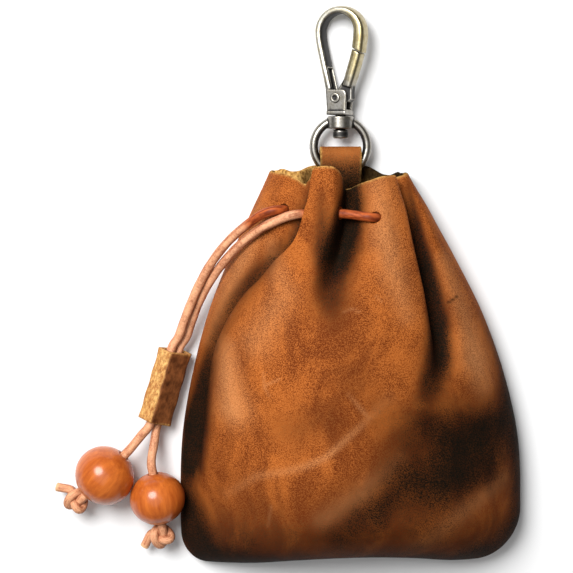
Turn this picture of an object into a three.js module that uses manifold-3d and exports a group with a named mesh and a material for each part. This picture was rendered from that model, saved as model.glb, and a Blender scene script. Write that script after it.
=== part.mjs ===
// A leather drawstring pouch with a swivel snap hook, lying on its back on a flat surface.
// Millimetres. +X runs to the right of the front, +Y from the foot of the pouch to the hook, +Z up out of the
// front. The origin is the middle of the footprint of pouch and hook, on the surface that it lies on.
import * as THREE from "three";
import { mergeVertices } from "three/addons/utils/BufferGeometryUtils.js";
import Module from "manifold-3d";

const wasm = await Module();
wasm.setup();

// Driving dimensions: leather
const LEATHER = 1.6; // wall of the pouch
const GAP = 0.3; // clearance between neighbouring pieces
const FOOT_Y = -82.4; // bottom seam
const MOUTH_Y = 36; // tips of the gathers round the mouth
const STRING_Y = 21.5; // level of the drawstring
const CORNER_RADIUS = { left: 9, right: 15 }; // rounded bottom corners, seen from the front
const FOOT_RADIUS = 17; // how far the front takes to round over into the bottom seam
const BACK_RADIUS = 8; // the same for the back, which lies flat beyond it
const BACK_FLAT = { left: 4.5, right: 1.9 }; // the larger, the nearer the back's flat comes to the side seam
const FOOT_REACH = 30; // the bottom seam's ups and downs fade out this far above it

// Driving dimensions: drawstring and what is on it
const CORD = 2.7; // diameter
const CORD_SIDES = 8;
const CORD_INSET = 4.3; // from the outline of the gathered neck to the middle of the cord
const CORD_BACK_Z = 3.4; // the cord's height where it crosses the back
const CORD_TURN_Z = 8; // and at the sides of the neck
const HOLE_PLAY = 0.35; // round the cord in its punched holes
const BEAD_LEFT = 18.2; // diameters of the two wooden beads
const BEAD_RIGHT = 16.8;
const BEAD_FLATTENED = 0.95; // length along the bore over diameter
const SLIDER = { wide: 8.9, deep: 6.4, long: 22.6, wall: 1.25, turn: 45, lean: 16.5 };
const SLIDER_CORDS = 3.06; // between the middles of the two cords in the slider
const SLIDER_LEAD = 1.4; // the cords run straight this far past each end of the slider

// Driving dimensions: hanger strap, ring and snap hook
const STRAP_WIDE = 12.4;
const STRAP_THICK = 1.4;
const STRAP_TOP_Y = 42;
const STRAP_FOOT_Y = 24.6;
const SWIVEL_X = -3.2; // axis on which the hook swivels, parallel to Y
const SWIVEL_Z = 5.2;
const HOOK_Y = 51.4; // underside of the hook's flange
const HOOK_TURN = 25; // degrees by which the hook lies turned on its swivel
const RING = { radius: 8, radial: 2.6, deep: 3, below: 9.4 };
const BARREL = { radius: 3.95, bore: 1.85, top: -0.35, bottom: -4.15 };
const STUD = { radius: 1.5, head: 2.3, headTop: -4.5, headBottom: -7 };
const PIVOT = { x: -0.6, y: 5, radius: 1, head: 1.55 };

// Rows of numbers under named columns.
const table = (columns, rows) =>
  rows.map((row) => Object.fromEntries(columns.map((name, k) => [name, row[k]])));

// Plan of the pouch and height of its front, from the foot to the mouth. The corners at the foot are cut
// round later. seamLeft, seamRight: heights of the side seams. leanLeft, leanRight: 1 rises from the seam as
// an ellipse does, 2 as a parabola does. crest: how far the top of the front lies off the middle.
const SECTIONS = table(
  ["y", "left", "right", "seamLeft", "seamRight", "crown", "leanLeft", "leanRight", "crest"],
  [
    [-84, -51.3, 51.4, 3, 5, 35, 1.6, 1.3, -4],
    [-66, -51.9, 52, 2.2, 5, 38, 2.4, 1.35, -6],
    [-46, -51.2, 51, 2.2, 5, 40, 2.4, 1.4, -6],
    [-27, -48, 46.7, 2.8, 5, 39, 1.9, 1.35, -5],
    [-8, -43, 39.8, 4, 5, 36, 1.5, 1.25, -3],
    [9, -36.4, 31.2, 5, 5, 33, 1.2, 1.15, -1],
    [21.5, -30.4, 24.3, 5, 5, 30, 1.05, 1.05, 0],
    [36, -24.4, 17.1, 5, 5, 27.5, 1.05, 1.05, 0],
  ],
);

// How far the bottom seam rises, and how far the rims of front and back drop, at places across the pouch.
const FOOT = table(
  ["x", "rise"],
  [[-52, -3], [-41, -2.6], [-29, -1.7], [-17, -0.3], [-5, 0.5], [7, 0.6], [19, 0], [31, -1.2], [43, -1.2], [52, -0.8]],
);
const FRONT_RIM = table(
  ["x", "drop"],
  [[-25, 1.4], [-19, 2.2], [-15.5, 1.8], [-12.5, 0], [-4, 0], [0, 1], [5, 2.4], [12, 2.4], [18, 2.1]],
);
const BACK_RIM = table(["x", "drop"], [[-25, 1.4], [-22, 1.5], [-19, 0.5], [-12, 0], [4, 0], [8, 0.5], [12, 1.8], [18, 2.1]]);

// Folds that the drawstring gathers: each row says where the bottom of a fold runs, how deep it is and how
// wide. under: degrees by which the fold tucks in sideways below the ridge on its right. open: how much
// gentler its right flank is than its left one. drop: how far it pulls the rim down.
const FRONT_FOLDS = [
  {
    name: "left fold, from the mouth down along the left seam",
    under: 48,
    open: 1,
    drop: 3,
    rows: [
      { y: -64, x: -46.5, depth: 0, width: 3.2 },
      { y: -48, x: -47, depth: 3.2, width: 3.2 },
      { y: -33, x: -45.4, depth: 3.4, width: 3.2 },
      { y: -18, x: -43, depth: 3.2, width: 3.2 },
      { y: -4, x: -36.4, depth: 3.6, width: 3.2 },
      { y: 8, x: -27.4, depth: 5, width: 3 },
      { y: 15, x: -21.2, depth: 6.6, width: 2.6 },
      { y: 24, x: -18.2, depth: 7.4, width: 2.3 },
      { y: 36, x: -15.4, depth: 6.6, width: 2.2 },
    ],
  },
  {
    name: "middle fold, right of the central ridge",
    under: 0,
    open: 2,
    drop: 6.2,
    rows: [
      { y: -12, x: -5, depth: 0, width: 6 },
      { y: -4, x: -5, depth: 1.5, width: 5 },
      { y: 5, x: -4.4, depth: 4.2, width: 4 },
      { y: 14, x: -2.6, depth: 7.8, width: 3.2 },
      { y: 21.5, x: -1.4, depth: 9.4, width: 2.9 },
      { y: 36, x: -0.6, depth: 9, width: 2.8 },
    ],
  },
  {
    name: "right fold, the longest, below the overhanging right ridge",
    under: -4,
    open: 1,
    drop: 2.4,
    rows: [
      { y: -30, x: 29, depth: 0, width: 4.4 },
      { y: -20, x: 29.2, depth: 3.2, width: 4 },
      { y: -13, x: 28.8, depth: 5.6, width: 3.8 },
      { y: -1, x: 26, depth: 7.4, width: 3.4 },
      { y: 14, x: 21.4, depth: 8.6, width: 2.9 },
      { y: 26, x: 18, depth: 9, width: 2.5 },
      { y: 36, x: 15, depth: 8.6, width: 2.3 },
    ],
  },
  {
    name: "short fold below the exits of the cord",
    under: 10,
    open: 1,
    drop: 0,
    rows: [
      { y: 0, x: -30, depth: 0, width: 2.6 },
      { y: 9, x: -27, depth: 2, width: 2.6 },
      { y: 15, x: -25.4, depth: 1.6, width: 2.4 },
      { y: 20, x: -24.6, depth: 0, width: 2.4 },
    ],
  },
];
const BACK_FOLDS = [
  { name: "back fold, left of the strap", x: -16.8, sign: 1 },
  { name: "back fold, right of the strap", x: 9.9, sign: -1 },
].map(({ name, x, sign }) => ({
  name,
  under: 0,
  open: 1,
  drop: 1.5,
  rows: [
    { y: -22, x: x - 7 * sign, depth: 0, width: 4.5 },
    { y: -2, x: x - 4 * sign, depth: 2.6, width: 4 },
    { y: 12, x: x - 1.5 * sign, depth: 6.4, width: 3.3 },
    { y: 21.5, x, depth: 8.2, width: 2.9 },
    { y: 36, x, depth: 7, width: 2.8 },
  ],
}));

// Broad dents in the front of the belly.
const DENTS = [
  { name: "hollow in the lower right", x: 27, y: -44, depth: 2.4, across: 15, along: 12 },
  { name: "hollow above the lower left corner", x: -28, y: -66, depth: 1.6, across: 13, along: 9 },
  { name: "hollow below the middle", x: 6, y: -62, depth: 1.4, across: 16, along: 8 },
];

// Routes of the two free cord ends, from the punched hole to the slider and from there to the bead: x, y, z.
const LEFT_END_UPPER = [
  [-20.6, 23.8, 23.4], [-23, 23.6, 24.9], [-26.1, 22.6, 23.9], [-30.6, 20.2, 21.3], [-35.2, 16.1, 18.2],
  [-39.5, 11.4, 15.3], [-42.9, 6.1, 12.7], [-45.9, 0.6, 10.7], [-48.1, -5.1, 8.9], [-50.2, -10.4, 7.8],
  [-52, -15.3, 7],
];
const RIGHT_END_UPPER = [
  [-12.6, 22.6, 25.2], [-15.6, 22.6, 25.6], [-18.6, 22.1, 26], [-22, 21, 25.4], [-26.1, 19.1, 23.4],
  [-30.3, 16, 20.4], [-34.5, 12.1, 17], [-38.1, 8.1, 13.9], [-41.4, 3.6, 11], [-44, -0.7, 8.7],
  [-46.4, -5.6, 6.9],
  [-47.9, -10.4, 5.6], [-49.6, -15.3, 4.6],
];
const LEFT_END_LOWER = [[-63.3, -45.1, 7.9]];
const RIGHT_END_LOWER = [[-59, -47.2, 6.2]];
const SLIDER_MIDDLE = [-56.25, -30.4, 5.55];
const BEADS = {
  left: { middle: [-74.3, -57.1, 9.2], heading: [-0.69, -0.72, 0], tail: [-0.95, 0.2, -0.25] },
  right: { middle: [-58.5, -64.3, 8.5], heading: [0.16, -0.99, 0], tail: [-0.5, -0.85, -0.2] },
};

// Overhand knots: the open trefoil x = t^3 - 3t, y = t^4 - 4t^2. rise is the strand's height along its second
// half, as a share of lift, alternating at the crossings; the first half mirrors it.
const KNOT = { lobe: 1.6, lift: -1.55, from: -2.03, to: 1.98, points: 29, steps: 9, tail: 5 };
const KNOT_RISE = [
  { y: 0, rise: 0 }, { y: 0.5, rise: 1 }, { y: 1.1, rise: 0 }, { y: 1.72, rise: -1 },
  { y: 1.94, rise: 1 }, { y: 2.1, rise: 0.8 },
];

// Small helpers
const radians = THREE.MathUtils.degToRad;
const point = (p) => new THREE.Vector3(...p);
const within = (t) => Math.min(1, Math.max(0, t));
const fade = (t) => within(t) ** 2 * (3 - 2 * within(t));
const rounded = (t) => Math.sqrt(1 - (1 - within(t)) ** 2);

// Reads a column of a table at y, on a smooth curve through its rows, level beyond the first and last one.
function read(rows, column, place, by = "y") {
  const last = rows.length - 1;
  if (place <= rows[0][by]) return rows[0][column];
  if (place >= rows[last][by]) return rows[last][column];
  const i = rows.findIndex((row) => row[by] > place) - 1;
  const slope = (k) => {
    const [a, b] = [rows[Math.max(0, k - 1)], rows[Math.min(last, k + 1)]];
    return (b[column] - a[column]) / (b[by] - a[by]);
  };
  const span = rows[i + 1][by] - rows[i][by];
  const t = (place - rows[i][by]) / span;
  const rise = t * t * (3 - 2 * t);
  const leaving = t * (1 - t) ** 2 * span * slope(i);
  const arriving = t * t * (t - 1) * span * slope(i + 1);
  return rows[i][column] * (1 - rise) + rows[i + 1][column] * rise + leaving + arriving;
}

// The section of the neck or belly at y: middle and half width between the seams.
function section(y) {
  const cut = (radius) => radius * (1 - rounded((y - FOOT_Y) / radius));
  const left = read(SECTIONS, "left", y) + cut(CORNER_RADIUS.left);
  const right = read(SECTIONS, "right", y) - cut(CORNER_RADIUS.right);
  return { middle: (left + right) / 2, half: (right - left) / 2 };
}

// The smooth front and back before folds. turn runs from 0 at the left seam to pi at the right one.
function seam(turn, y) {
  const toRight = (1 - Math.cos(turn)) / 2;
  return read(SECTIONS, "seamLeft", y) * (1 - toRight) + read(SECTIONS, "seamRight", y) * toRight;
}
function smoothFront(turn, y) {
  const { middle, half } = section(y);
  const toCrown = read(SECTIONS, "crown", y) - seam(turn, y) - LEATHER;
  const rise = toCrown * rounded((y - FOOT_Y) / FOOT_RADIUS);
  const up = Math.max(0, Math.sin(turn));
  const lean = read(SECTIONS, turn < Math.PI / 2 ? "leanLeft" : "leanRight", y);
  const x = middle - half * Math.cos(turn) + read(SECTIONS, "crest", y) * up * up;
  const fromSeam = half * (1 - Math.abs(Math.cos(turn)));
  const edge = LEATHER * rounded(fromSeam / LEATHER) * rounded((y - FOOT_Y) / LEATHER);
  return new THREE.Vector3(x, y, seam(turn, y) + edge + rise * up ** lean);
}
function smoothBack(turn, y) {
  const { middle, half } = section(y);
  const flat = turn < Math.PI / 2 ? BACK_FLAT.left : BACK_FLAT.right;
  const down = within(flat * Math.sin(turn)) * rounded((y - FOOT_Y) / BACK_RADIUS);
  return new THREE.Vector3(middle - half * Math.cos(turn), y, (seam(turn, y) - GAP) * (1 - down));
}

// Pushes a smooth face in along its folds, and pulls the rim down where they end.
function folded(face, folds, facing) {
  const step = 1e-3;
  return (turn, y) => {
    const at = face(turn, y);
    const { middle, half } = section(y);
    const from = face(Math.max(turn - step, 0), y);
    const along = face(Math.min(turn + step, Math.PI), y).sub(from).normalize();
    const inward = new THREE.Vector3(along.z, 0, -along.x).multiplyScalar(facing);
    for (const fold of folds) {
      const depth = read(fold.rows, "depth", y);
      const bottom = Math.acos(Math.min(1, Math.max(-1, (middle - read(fold.rows, "x", y)) / half)));
      const reach = face(bottom + step, y).distanceTo(face(bottom - step, y)) / (2 * step);
      const wide = read(fold.rows, "width", y) * (turn > bottom ? fold.open : 1);
      const away = ((turn - bottom) * reach) / wide;
      const near = Math.exp(-away * away);
      const slant = radians(fold.under);
      at.addScaledVector(inward, depth * near * Math.cos(slant));
      at.addScaledVector(along, depth * near * Math.sin(slant));
      at.y -= fold.drop * near * fade((y - STRING_Y) / (MOUTH_Y - STRING_Y));
    }
    return at;
  };
}
const rimmed = (p, rim, y) => {
  p.y -= read(rim, "drop", p.x, "x") * fade((y - STRING_Y) / (MOUTH_Y - STRING_Y));
  return p;
};
const footed = (p) => {
  p.y += read(FOOT, "rise", p.x, "x") * fade(1 - (p.y - FOOT_Y) / FOOT_REACH);
  return p;
};
const foldedFront = folded(smoothFront, FRONT_FOLDS, 1);
const foldedBack = folded(smoothBack, BACK_FOLDS, -1);
function frontFace(turn, y) {
  const p = foldedFront(turn, y);
  for (const dent of DENTS) {
    const away = ((p.x - dent.x) / dent.across) ** 2 + ((p.y - dent.y) / dent.along) ** 2;
    p.z -= dent.depth * Math.exp(-away) * Math.sin(turn) * rounded((y - FOOT_Y) / FOOT_RADIUS);
  }
  return footed(rimmed(p, FRONT_RIM, y));
}
const backFace = (turn, y) => footed(rimmed(foldedBack(turn, y), BACK_RIM, y));

// Solids: three.js geometry to a manifold-3d solid and back
function solid(geometry) {
  const bare = geometry.clone();
  for (const name of Object.keys(bare.attributes)) if (name !== "position") bare.deleteAttribute(name);
  const merged = mergeVertices(bare, 1e-4);
  return new wasm.Manifold(
    new wasm.Mesh({
      numProp: 3,
      vertProperties: new Float32Array(merged.attributes.position.array),
      triVerts: new Uint32Array(merged.index.array),
    }),
  );
}
function geometryOf(made) {
  const { vertProperties, triVerts } = made.getMesh();
  const geometry = new THREE.BufferGeometry();
  geometry.setAttribute("position", new THREE.BufferAttribute(vertProperties, 3));
  geometry.setIndex(new THREE.BufferAttribute(triVerts, 1));
  geometry.computeVertexNormals();
  return geometry;
}
const joined = (...shapes) => shapes.map(solid).reduce((a, b) => a.add(b));

// A geometry from points and triangles.
function meshOf(points, triangles) {
  const geometry = new THREE.BufferGeometry().setFromPoints(points);
  geometry.setIndex(triangles);
  geometry.computeVertexNormals();
  return geometry;
}

// A leather wall over a face: its outer skin, an inner skin one thickness inside, and the cut edges between
// them. At the seams (foot and both sides) the edge is kept level, so that front and back meet edge to edge.
function wall(face, levels, columns, facing) {
  const rows = levels.length;
  const at = (i, j) => j * (columns + 1) + i;
  const outer = [];
  for (const y of levels)
    for (let i = 0; i <= columns; i++) outer.push(face((Math.PI * i) / columns, y));
  const skin = [];
  for (let j = 0; j + 1 < rows; j++)
    for (let i = 0; i < columns; i++) {
      const [a, b, c, d] = [at(i, j), at(i + 1, j), at(i + 1, j + 1), at(i, j + 1)];
      skin.push(...(facing > 0 ? [a, b, c, a, c, d] : [a, c, b, a, d, c]));
    }
  const normals = meshOf(outer, skin).getAttribute("normal");
  const seamNormal = (i, j) => {
    const above = Math.min(j + 1, rows - 1);
    const before = i === 0 ? at(0, above) : j === 0 ? at(i - 1, 0) : at(i, j - 1);
    const after = i === columns ? at(i, above) : j === 0 ? at(i + 1, 0) : at(i, j - 1);
    const along = outer[after].clone().sub(outer[before]);
    return new THREE.Vector3(along.y, -along.x, 0).normalize();
  };
  const inner = outer.map((p, k) => {
    const [i, j] = [k % (columns + 1), Math.floor(k / (columns + 1))];
    const onSeam = i === 0 || i === columns || j === 0;
    const normal = onSeam ? seamNormal(i, j) : new THREE.Vector3().fromBufferAttribute(normals, k);
    return p.clone().addScaledVector(normal, -LEATHER);
  });
  const edge = [];
  for (let i = 0; i < columns; i++) edge.push(at(i, 0));
  for (let j = 0; j + 1 < rows; j++) edge.push(at(columns, j));
  for (let i = columns; i > 0; i--) edge.push(at(i, rows - 1));
  for (let j = rows - 1; j > 0; j--) edge.push(at(0, j));
  if (facing < 0) edge.reverse();
  const count = outer.length;
  const triangles = [...skin];
  for (let k = 0; k < skin.length; k += 3)
    triangles.push(skin[k] + count, skin[k + 2] + count, skin[k + 1] + count);
  edge.forEach((a, k) => {
    const b = edge[(k + 1) % edge.length];
    triangles.push(b, a, a + count, b, a + count, b + count);
  });
  return meshOf([...outer, ...inner], triangles);
}

// Heights of the rows of a wall: close together round the foot, then evenly up to the mouth.
function levels(footRows, radius, bodyRows) {
  const made = [];
  for (let k = 0; k < footRows; k++) {
    const turned = (Math.PI / 2) * (k / footRows);
    made.push(FOOT_Y + radius * (1 - Math.cos(turned)));
  }
  const start = FOOT_Y + radius;
  for (let k = 0; k <= bodyRows; k++) made.push(start + ((MOUTH_Y - start) * k) / bodyRows);
  return made;
}

// A round tube along a route.
function tube(points, radius, steps, sides = CORD_SIDES) {
  const ring = new THREE.Shape();
  for (let k = 0; k <= sides; k++) {
    const a = (2 * Math.PI * k) / sides;
    if (k === 0) ring.moveTo(radius, 0);
    else ring.lineTo(radius * Math.cos(a), radius * Math.sin(a));
  }
  const extrudePath = new THREE.CatmullRomCurve3(points, false, "centripetal");
  return new THREE.ExtrudeGeometry(ring, { steps, extrudePath, bevelEnabled: false });
}

// A bar in the hook's plane through stations of middle, width and depth, with rounded-off corners.
function bar(stations, sides = 10) {
  const points = [];
  stations.forEach((s, k) => {
    const [before, after] = [stations[Math.max(0, k - 1)], stations[Math.min(stations.length - 1, k + 1)]];
    const across = new THREE.Vector3(after.y - before.y, before.x - after.x, 0).normalize();
    for (let i = 0; i < sides; i++) {
      const a = (2 * Math.PI * (i + 0.5)) / sides;
      const [c, d] = [Math.cos(a), Math.sin(a)];
      const p = new THREE.Vector3(s.x, s.y, 0);
      p.addScaledVector(across, (s.wide / 2) * Math.sign(c) * Math.abs(c) ** 0.7);
      p.z -= (s.deep / 2) * Math.sign(d) * Math.abs(d) ** 0.7;
      points.push(p);
    }
  });
  const triangles = [];
  for (let k = 0; k + 1 < stations.length; k++)
    for (let i = 0; i < sides; i++) {
      const [a, b] = [k * sides + i, k * sides + ((i + 1) % sides)];
      triangles.push(a, b, b + sides, a, b + sides, a + sides);
    }
  const end = (stations.length - 1) * sides;
  for (let i = 1; i + 1 < sides; i++) triangles.push(0, i + 1, i, end, end + i, end + i + 1);
  return meshOf(points, triangles);
}

// A cylinder along Y between two heights, and a box between two corners.
const post = (radius, low, high, sides = 16) =>
  new THREE.CylinderGeometry(radius, radius, high - low, sides).translate(0, (low + high) / 2, 0);
const block = (low, high) => {
  const size = high.map((h, k) => h - low[k]);
  const middle = high.map((h, k) => (h + low[k]) / 2);
  return new THREE.BoxGeometry(...size).translate(...middle);
};

// Materials
const finish = (color, roughness, metalness = 0) =>
  new THREE.MeshStandardMaterial({ color, roughness, metalness });
const LEATHER_BROWN = finish(0x9c5a26, 0.6);
const LACE_TAN = finish(0xc9855a, 0.6);
const SLIDER_TAN = finish(0x8a5a2c, 0.7);
const BEAD_WOOD = finish(0xb4571c, 0.3);
const ANTIQUE_BRASS = finish(0xa39b80, 0.35, 1);

const pouch = new THREE.Group();
function piece(name, geometry, material, parent = pouch) {
  const mesh = new THREE.Mesh(geometry, material);
  mesh.name = name;
  parent.add(mesh);
  return mesh;
}

// The drawstring: round the neck through holes in the flanks of the folds, from one exit to the other.
function neckLoop(turn) {
  const { middle, half } = section(STRING_Y);
  const top = read(SECTIONS, "crown", STRING_Y) - CORD_INSET - CORD_TURN_Z;
  const up = Math.sin(turn);
  const z = CORD_TURN_Z + up * (up > 0 ? top : CORD_TURN_Z - CORD_BACK_Z);
  return new THREE.Vector3(middle - (half - CORD_INSET) * Math.cos(turn), STRING_Y, z);
}
const LOOP_FROM = 14; // degrees, inside the left side of the neck
const LOOP_TO = -194; // inside the right side of the neck
const LOOP_POINTS = 21;
const NECK_STEPS = 36;
const END_STEPS = 30;
const NECK_START = [[-19.3, 23.5, 20.1], [-18.7, 23.2, 17.8], [-19.6, 22.9, 15.4], [-22.2, 22.2, 13.6]];
const neckRoute = NECK_START.map(point);
for (let k = 0; k <= LOOP_POINTS; k++)
  neckRoute.push(neckLoop(radians(LOOP_FROM + ((LOOP_TO - LOOP_FROM) * k) / LOOP_POINTS)));
// From there below the right fold, up inside the right ridge, out of it and into the central ridge.
const NECK_END = [
  [16.4, 21.5, 12.1], [13, 21.5, 11.4], [9.8, 21.5, 12], [7.9, 21.5, 14.4], [7.2, 21.5, 17.6], [7.2, 21.5, 21],
  [7.3, 21.5, 24], [6.6, 21.6, 26.3], [4.6, 21.8, 27.7], [2.1, 22.1, 26.8], [-1, 22.5, 25.8], [-4.8, 22.8, 25.3],
  [-9.4, 22.8, 25],
];
neckRoute.push(...NECK_END.map(point));
// The slider's own directions: along it towards the neck, and across it from the left cord to the right one.
const sliderAlong = new THREE.Vector3(Math.sin(radians(SLIDER.lean)), Math.cos(radians(SLIDER.lean)), 0);
const sliderAcross = new THREE.Vector3(sliderAlong.y, -sliderAlong.x, 0);
sliderAcross.multiplyScalar(Math.cos(radians(SLIDER.turn)));
sliderAcross.z = -Math.sin(radians(SLIDER.turn));
function freeEnd(start, upper, lower, side, bead) {
  const straight = SLIDER.long / 2 + SLIDER_LEAD;
  const inSlider = [straight, 0, -straight].map((along) =>
    point(SLIDER_MIDDLE)
      .addScaledVector(sliderAlong, along)
      .addScaledVector(sliderAcross, (side * SLIDER_CORDS) / 2),
  );
  const heading = point(bead.heading).normalize();
  const inBead = BEAD_STATIONS.map((d) => point(bead.middle).addScaledVector(heading, d));
  return [start, ...upper.map(point), ...inSlider, ...lower.map(point), ...inBead];
}
const BEAD_STATIONS = [-11, -7, 0, 9]; // along the bore from the bead's middle
const leftRoute = freeEnd(neckRoute[0], LEFT_END_UPPER, LEFT_END_LOWER, -1, BEADS.left);
const rightRoute = freeEnd(neckRoute.at(-1), RIGHT_END_UPPER, RIGHT_END_LOWER, 1, BEADS.right);

// Front and back walls, with the cord's holes punched through them.
function punched(geometry) {
  const drill = CORD / 2 + HOLE_PLAY;
  return geometryOf(
    solid(geometry)
      .subtract(solid(tube(neckRoute, drill, NECK_STEPS)))
      .subtract(solid(tube(leftRoute, drill, END_STEPS)))
      .subtract(solid(tube(rightRoute, drill, END_STEPS))),
  );
}
piece("front_panel", punched(wall(frontFace, levels(5, FOOT_RADIUS, 17), 40, 1)), LEATHER_BROWN);
piece("back_panel", punched(wall(backFace, levels(2, BACK_RADIUS, 12), 20, -1)), LEATHER_BROWN);

// Cords. Each end of the neck run is trimmed so that it meets the free end face to face.
const trimmed = (route, from, to) => {
  const curve = new THREE.CatmullRomCurve3(route, false, "centripetal");
  const long = curve.getLength();
  const count = route.length * 2;
  const stop = (k) => from + ((long - from - to) * k) / count;
  return Array.from({ length: count + 1 }, (_, k) => curve.getPointAt(stop(k) / long));
};
piece("drawstring", tube(trimmed(neckRoute, 2 * GAP, 2 * GAP), CORD / 2, NECK_STEPS), LACE_TAN);
piece("cord_end_left", tube(leftRoute, CORD / 2, END_STEPS), LACE_TAN);
piece("cord_end_right", tube(rightRoute, CORD / 2, END_STEPS), LACE_TAN);

// Beads, bored for the cord.
function bead(name, diameter, { middle, heading }) {
  const half = (diameter / 2) * BEAD_FLATTENED;
  const bore = CORD / 2 + HOLE_PLAY;
  const rim = Math.acos(bore / (diameter / 2));
  const profile = [];
  const arcs = 9;
  for (let k = 0; k <= arcs; k++) {
    const a = -rim + (2 * rim * k) / arcs;
    profile.push(new THREE.Vector2((diameter / 2) * Math.cos(a), half * Math.sin(a)));
  }
  profile.push(profile[0].clone());
  const mesh = piece(name, new THREE.LatheGeometry(profile, 16), BEAD_WOOD);
  mesh.position.copy(point(middle));
  mesh.quaternion.setFromUnitVectors(new THREE.Vector3(0, 1, 0), point(heading).normalize());
}
bead("bead_left", BEAD_LEFT, BEADS.left);
bead("bead_right", BEAD_RIGHT, BEADS.right);

// The slider: a leather tube with a rectangular way for both cords, lying on one of its edges.
function sliderBox(shrink, long) {
  return new THREE.BoxGeometry(SLIDER.wide - 2 * shrink, long, SLIDER.deep - 2 * shrink)
    .rotateY(radians(SLIDER.turn))
    .applyQuaternion(new THREE.Quaternion().setFromUnitVectors(new THREE.Vector3(0, 1, 0), sliderAlong))
    .translate(...SLIDER_MIDDLE);
}
const sliderTube = solid(sliderBox(0, SLIDER.long)).subtract(solid(sliderBox(SLIDER.wall, SLIDER.long + 2)));
piece("slider", geometryOf(sliderTube), SLIDER_TAN);

// The knots that hold the beads on: the cord carries on into an open trefoil and out to a short tail.
function knot(name, route, { heading, tail }) {
  const along = point(heading).normalize();
  const side = new THREE.Vector3(-along.y, along.x, 0);
  const flat = (t) => new THREE.Vector2(t ** 3 - 3 * t, t ** 4 - 4 * t ** 2).multiplyScalar(KNOT.lobe);
  const height = (t) => KNOT.lift * Math.sign(t) * read(KNOT_RISE, "rise", Math.abs(t));
  const first = flat(KNOT.from);
  const lead = flat(KNOT.from + 0.01).sub(first).normalize();
  const start = route.at(-1).clone().addScaledVector(along, GAP);
  const points = [];
  for (let k = 0; k <= KNOT.points; k++) {
    const t = KNOT.from + ((KNOT.to - KNOT.from) * k) / KNOT.points;
    const off = flat(t).sub(first);
    const p = start.clone().addScaledVector(along, off.dot(lead)).addScaledVector(side, off.cross(lead));
    p.z += height(t) - height(KNOT.from);
    points.push(p);
  }
  points.push(points.at(-1).clone().addScaledVector(point(tail).normalize(), KNOT.tail));
  // A tight knot's strands press into each other, so three stretches of the cord are joined to one solid.
  const third = Math.round(points.length / 3);
  const stretches = [0, 1, 2].map((k) => points.slice(k * third, (k + 1) * third + 2));
  const strands = stretches.map((stretch) => tube(stretch, CORD / 2, KNOT.steps));
  piece(name, geometryOf(joined(...strands)), LACE_TAN);
}
knot("knot_left", leftRoute, BEADS.left);
knot("knot_right", rightRoute, BEADS.right);

// The hanger strap: folded through the ring, both layers lying on the inside of the back.
const STRAP_LOW = LEATHER + GAP + STRAP_THICK / 2; // middle of the layer that lies on the back
const STRAP_HIGH = 2 * SWIVEL_Z - STRAP_LOW; // and of the one over the ring
const STRAP_FOLD = (STRAP_HIGH - STRAP_LOW) / 2;
const STRAP_FOLD_Y = STRAP_TOP_Y - STRAP_THICK / 2 - STRAP_FOLD;
function foldPoint(degrees) {
  const a = radians(degrees);
  return [STRAP_FOLD_Y + STRAP_FOLD * Math.sin(a), SWIVEL_Z - STRAP_FOLD * Math.cos(a)];
}
const STRAP_MIDDLE = [
  // y, z along the middle of the leather, from the back layer round the fold to the front layer
  [STRAP_FOOT_Y, STRAP_LOW], [31, STRAP_LOW], [36, STRAP_LOW],
  ...[0, 30, 60, 90, 120, 150, 180].map(foldPoint),
  [35, STRAP_HIGH], [32, STRAP_HIGH - 0.5], [29, 5.4], [27, 4.4],
  [STRAP_FOOT_Y, STRAP_LOW + STRAP_THICK + GAP],
];
function strapShape() {
  const curve = new THREE.SplineCurve(STRAP_MIDDLE.map(([y, z]) => new THREE.Vector2(y, z)));
  const steps = 24;
  const side = (sign) =>
    Array.from({ length: steps + 1 }, (_, k) => {
      const along = curve.getTangent(k / steps);
      const across = new THREE.Vector2(-along.y, along.x);
      return curve.getPoint(k / steps).addScaledVector(across, (sign * STRAP_THICK) / 2);
    });
  return new THREE.Shape([...side(1), ...side(-1).reverse()]);
}
const strap = new THREE.ExtrudeGeometry(strapShape(), { depth: STRAP_WIDE, bevelEnabled: false });
// The shape's plane (y, z) is stood up in the frame, and its depth runs along X.
const stood = new THREE.Matrix4().set(0, 0, 1, SWIVEL_X - STRAP_WIDE / 2, 1, 0, 0, 0, 0, 1, 0, 0, 0, 0, 0, 1);
strap.applyMatrix4(stood);
piece("strap_loop", strap, LEATHER_BROWN);

// The swivel ring: round wire with the barrel soldered into its top.
const ringWire = new THREE.TorusGeometry(RING.radius, RING.radial / 2, 8, 28);
ringWire.scale(1, 1, RING.deep / RING.radial).translate(0, -RING.below, 0);
const swivelRing = joined(ringWire, post(BARREL.radius, BARREL.bottom, BARREL.top, 20)).subtract(
  solid(post(BARREL.bore, BARREL.bottom - 2, BARREL.top + 2)),
);
const ring = piece("swivel_ring", geometryOf(swivelRing), ANTIQUE_BRASS);
ring.position.set(SWIVEL_X, HOOK_Y, SWIVEL_Z);

// The snap hook, in its own plane: x across, y along the swivel axis, z through its depth.
const hook = new THREE.Group();
hook.name = "snap_hook";
hook.position.set(SWIVEL_X, HOOK_Y, SWIVEL_Z);
hook.rotation.y = radians(-HOOK_TURN);
pouch.add(hook);

const BASE = { deep: 5.8, flange: 1.15, flangeLeft: -3.3, flangeRight: 2.8 };
// Outline of the two cheeks: they widen upwards, with a rounded corner on the gate's side.
const CHEEK = [[-3.2, 0.6], [2.6, 0.6], [2.9, 5], [2.9, 6], [2.45, 7.05], [1.4, 7.5], [-3.7, 7.5]];
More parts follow.
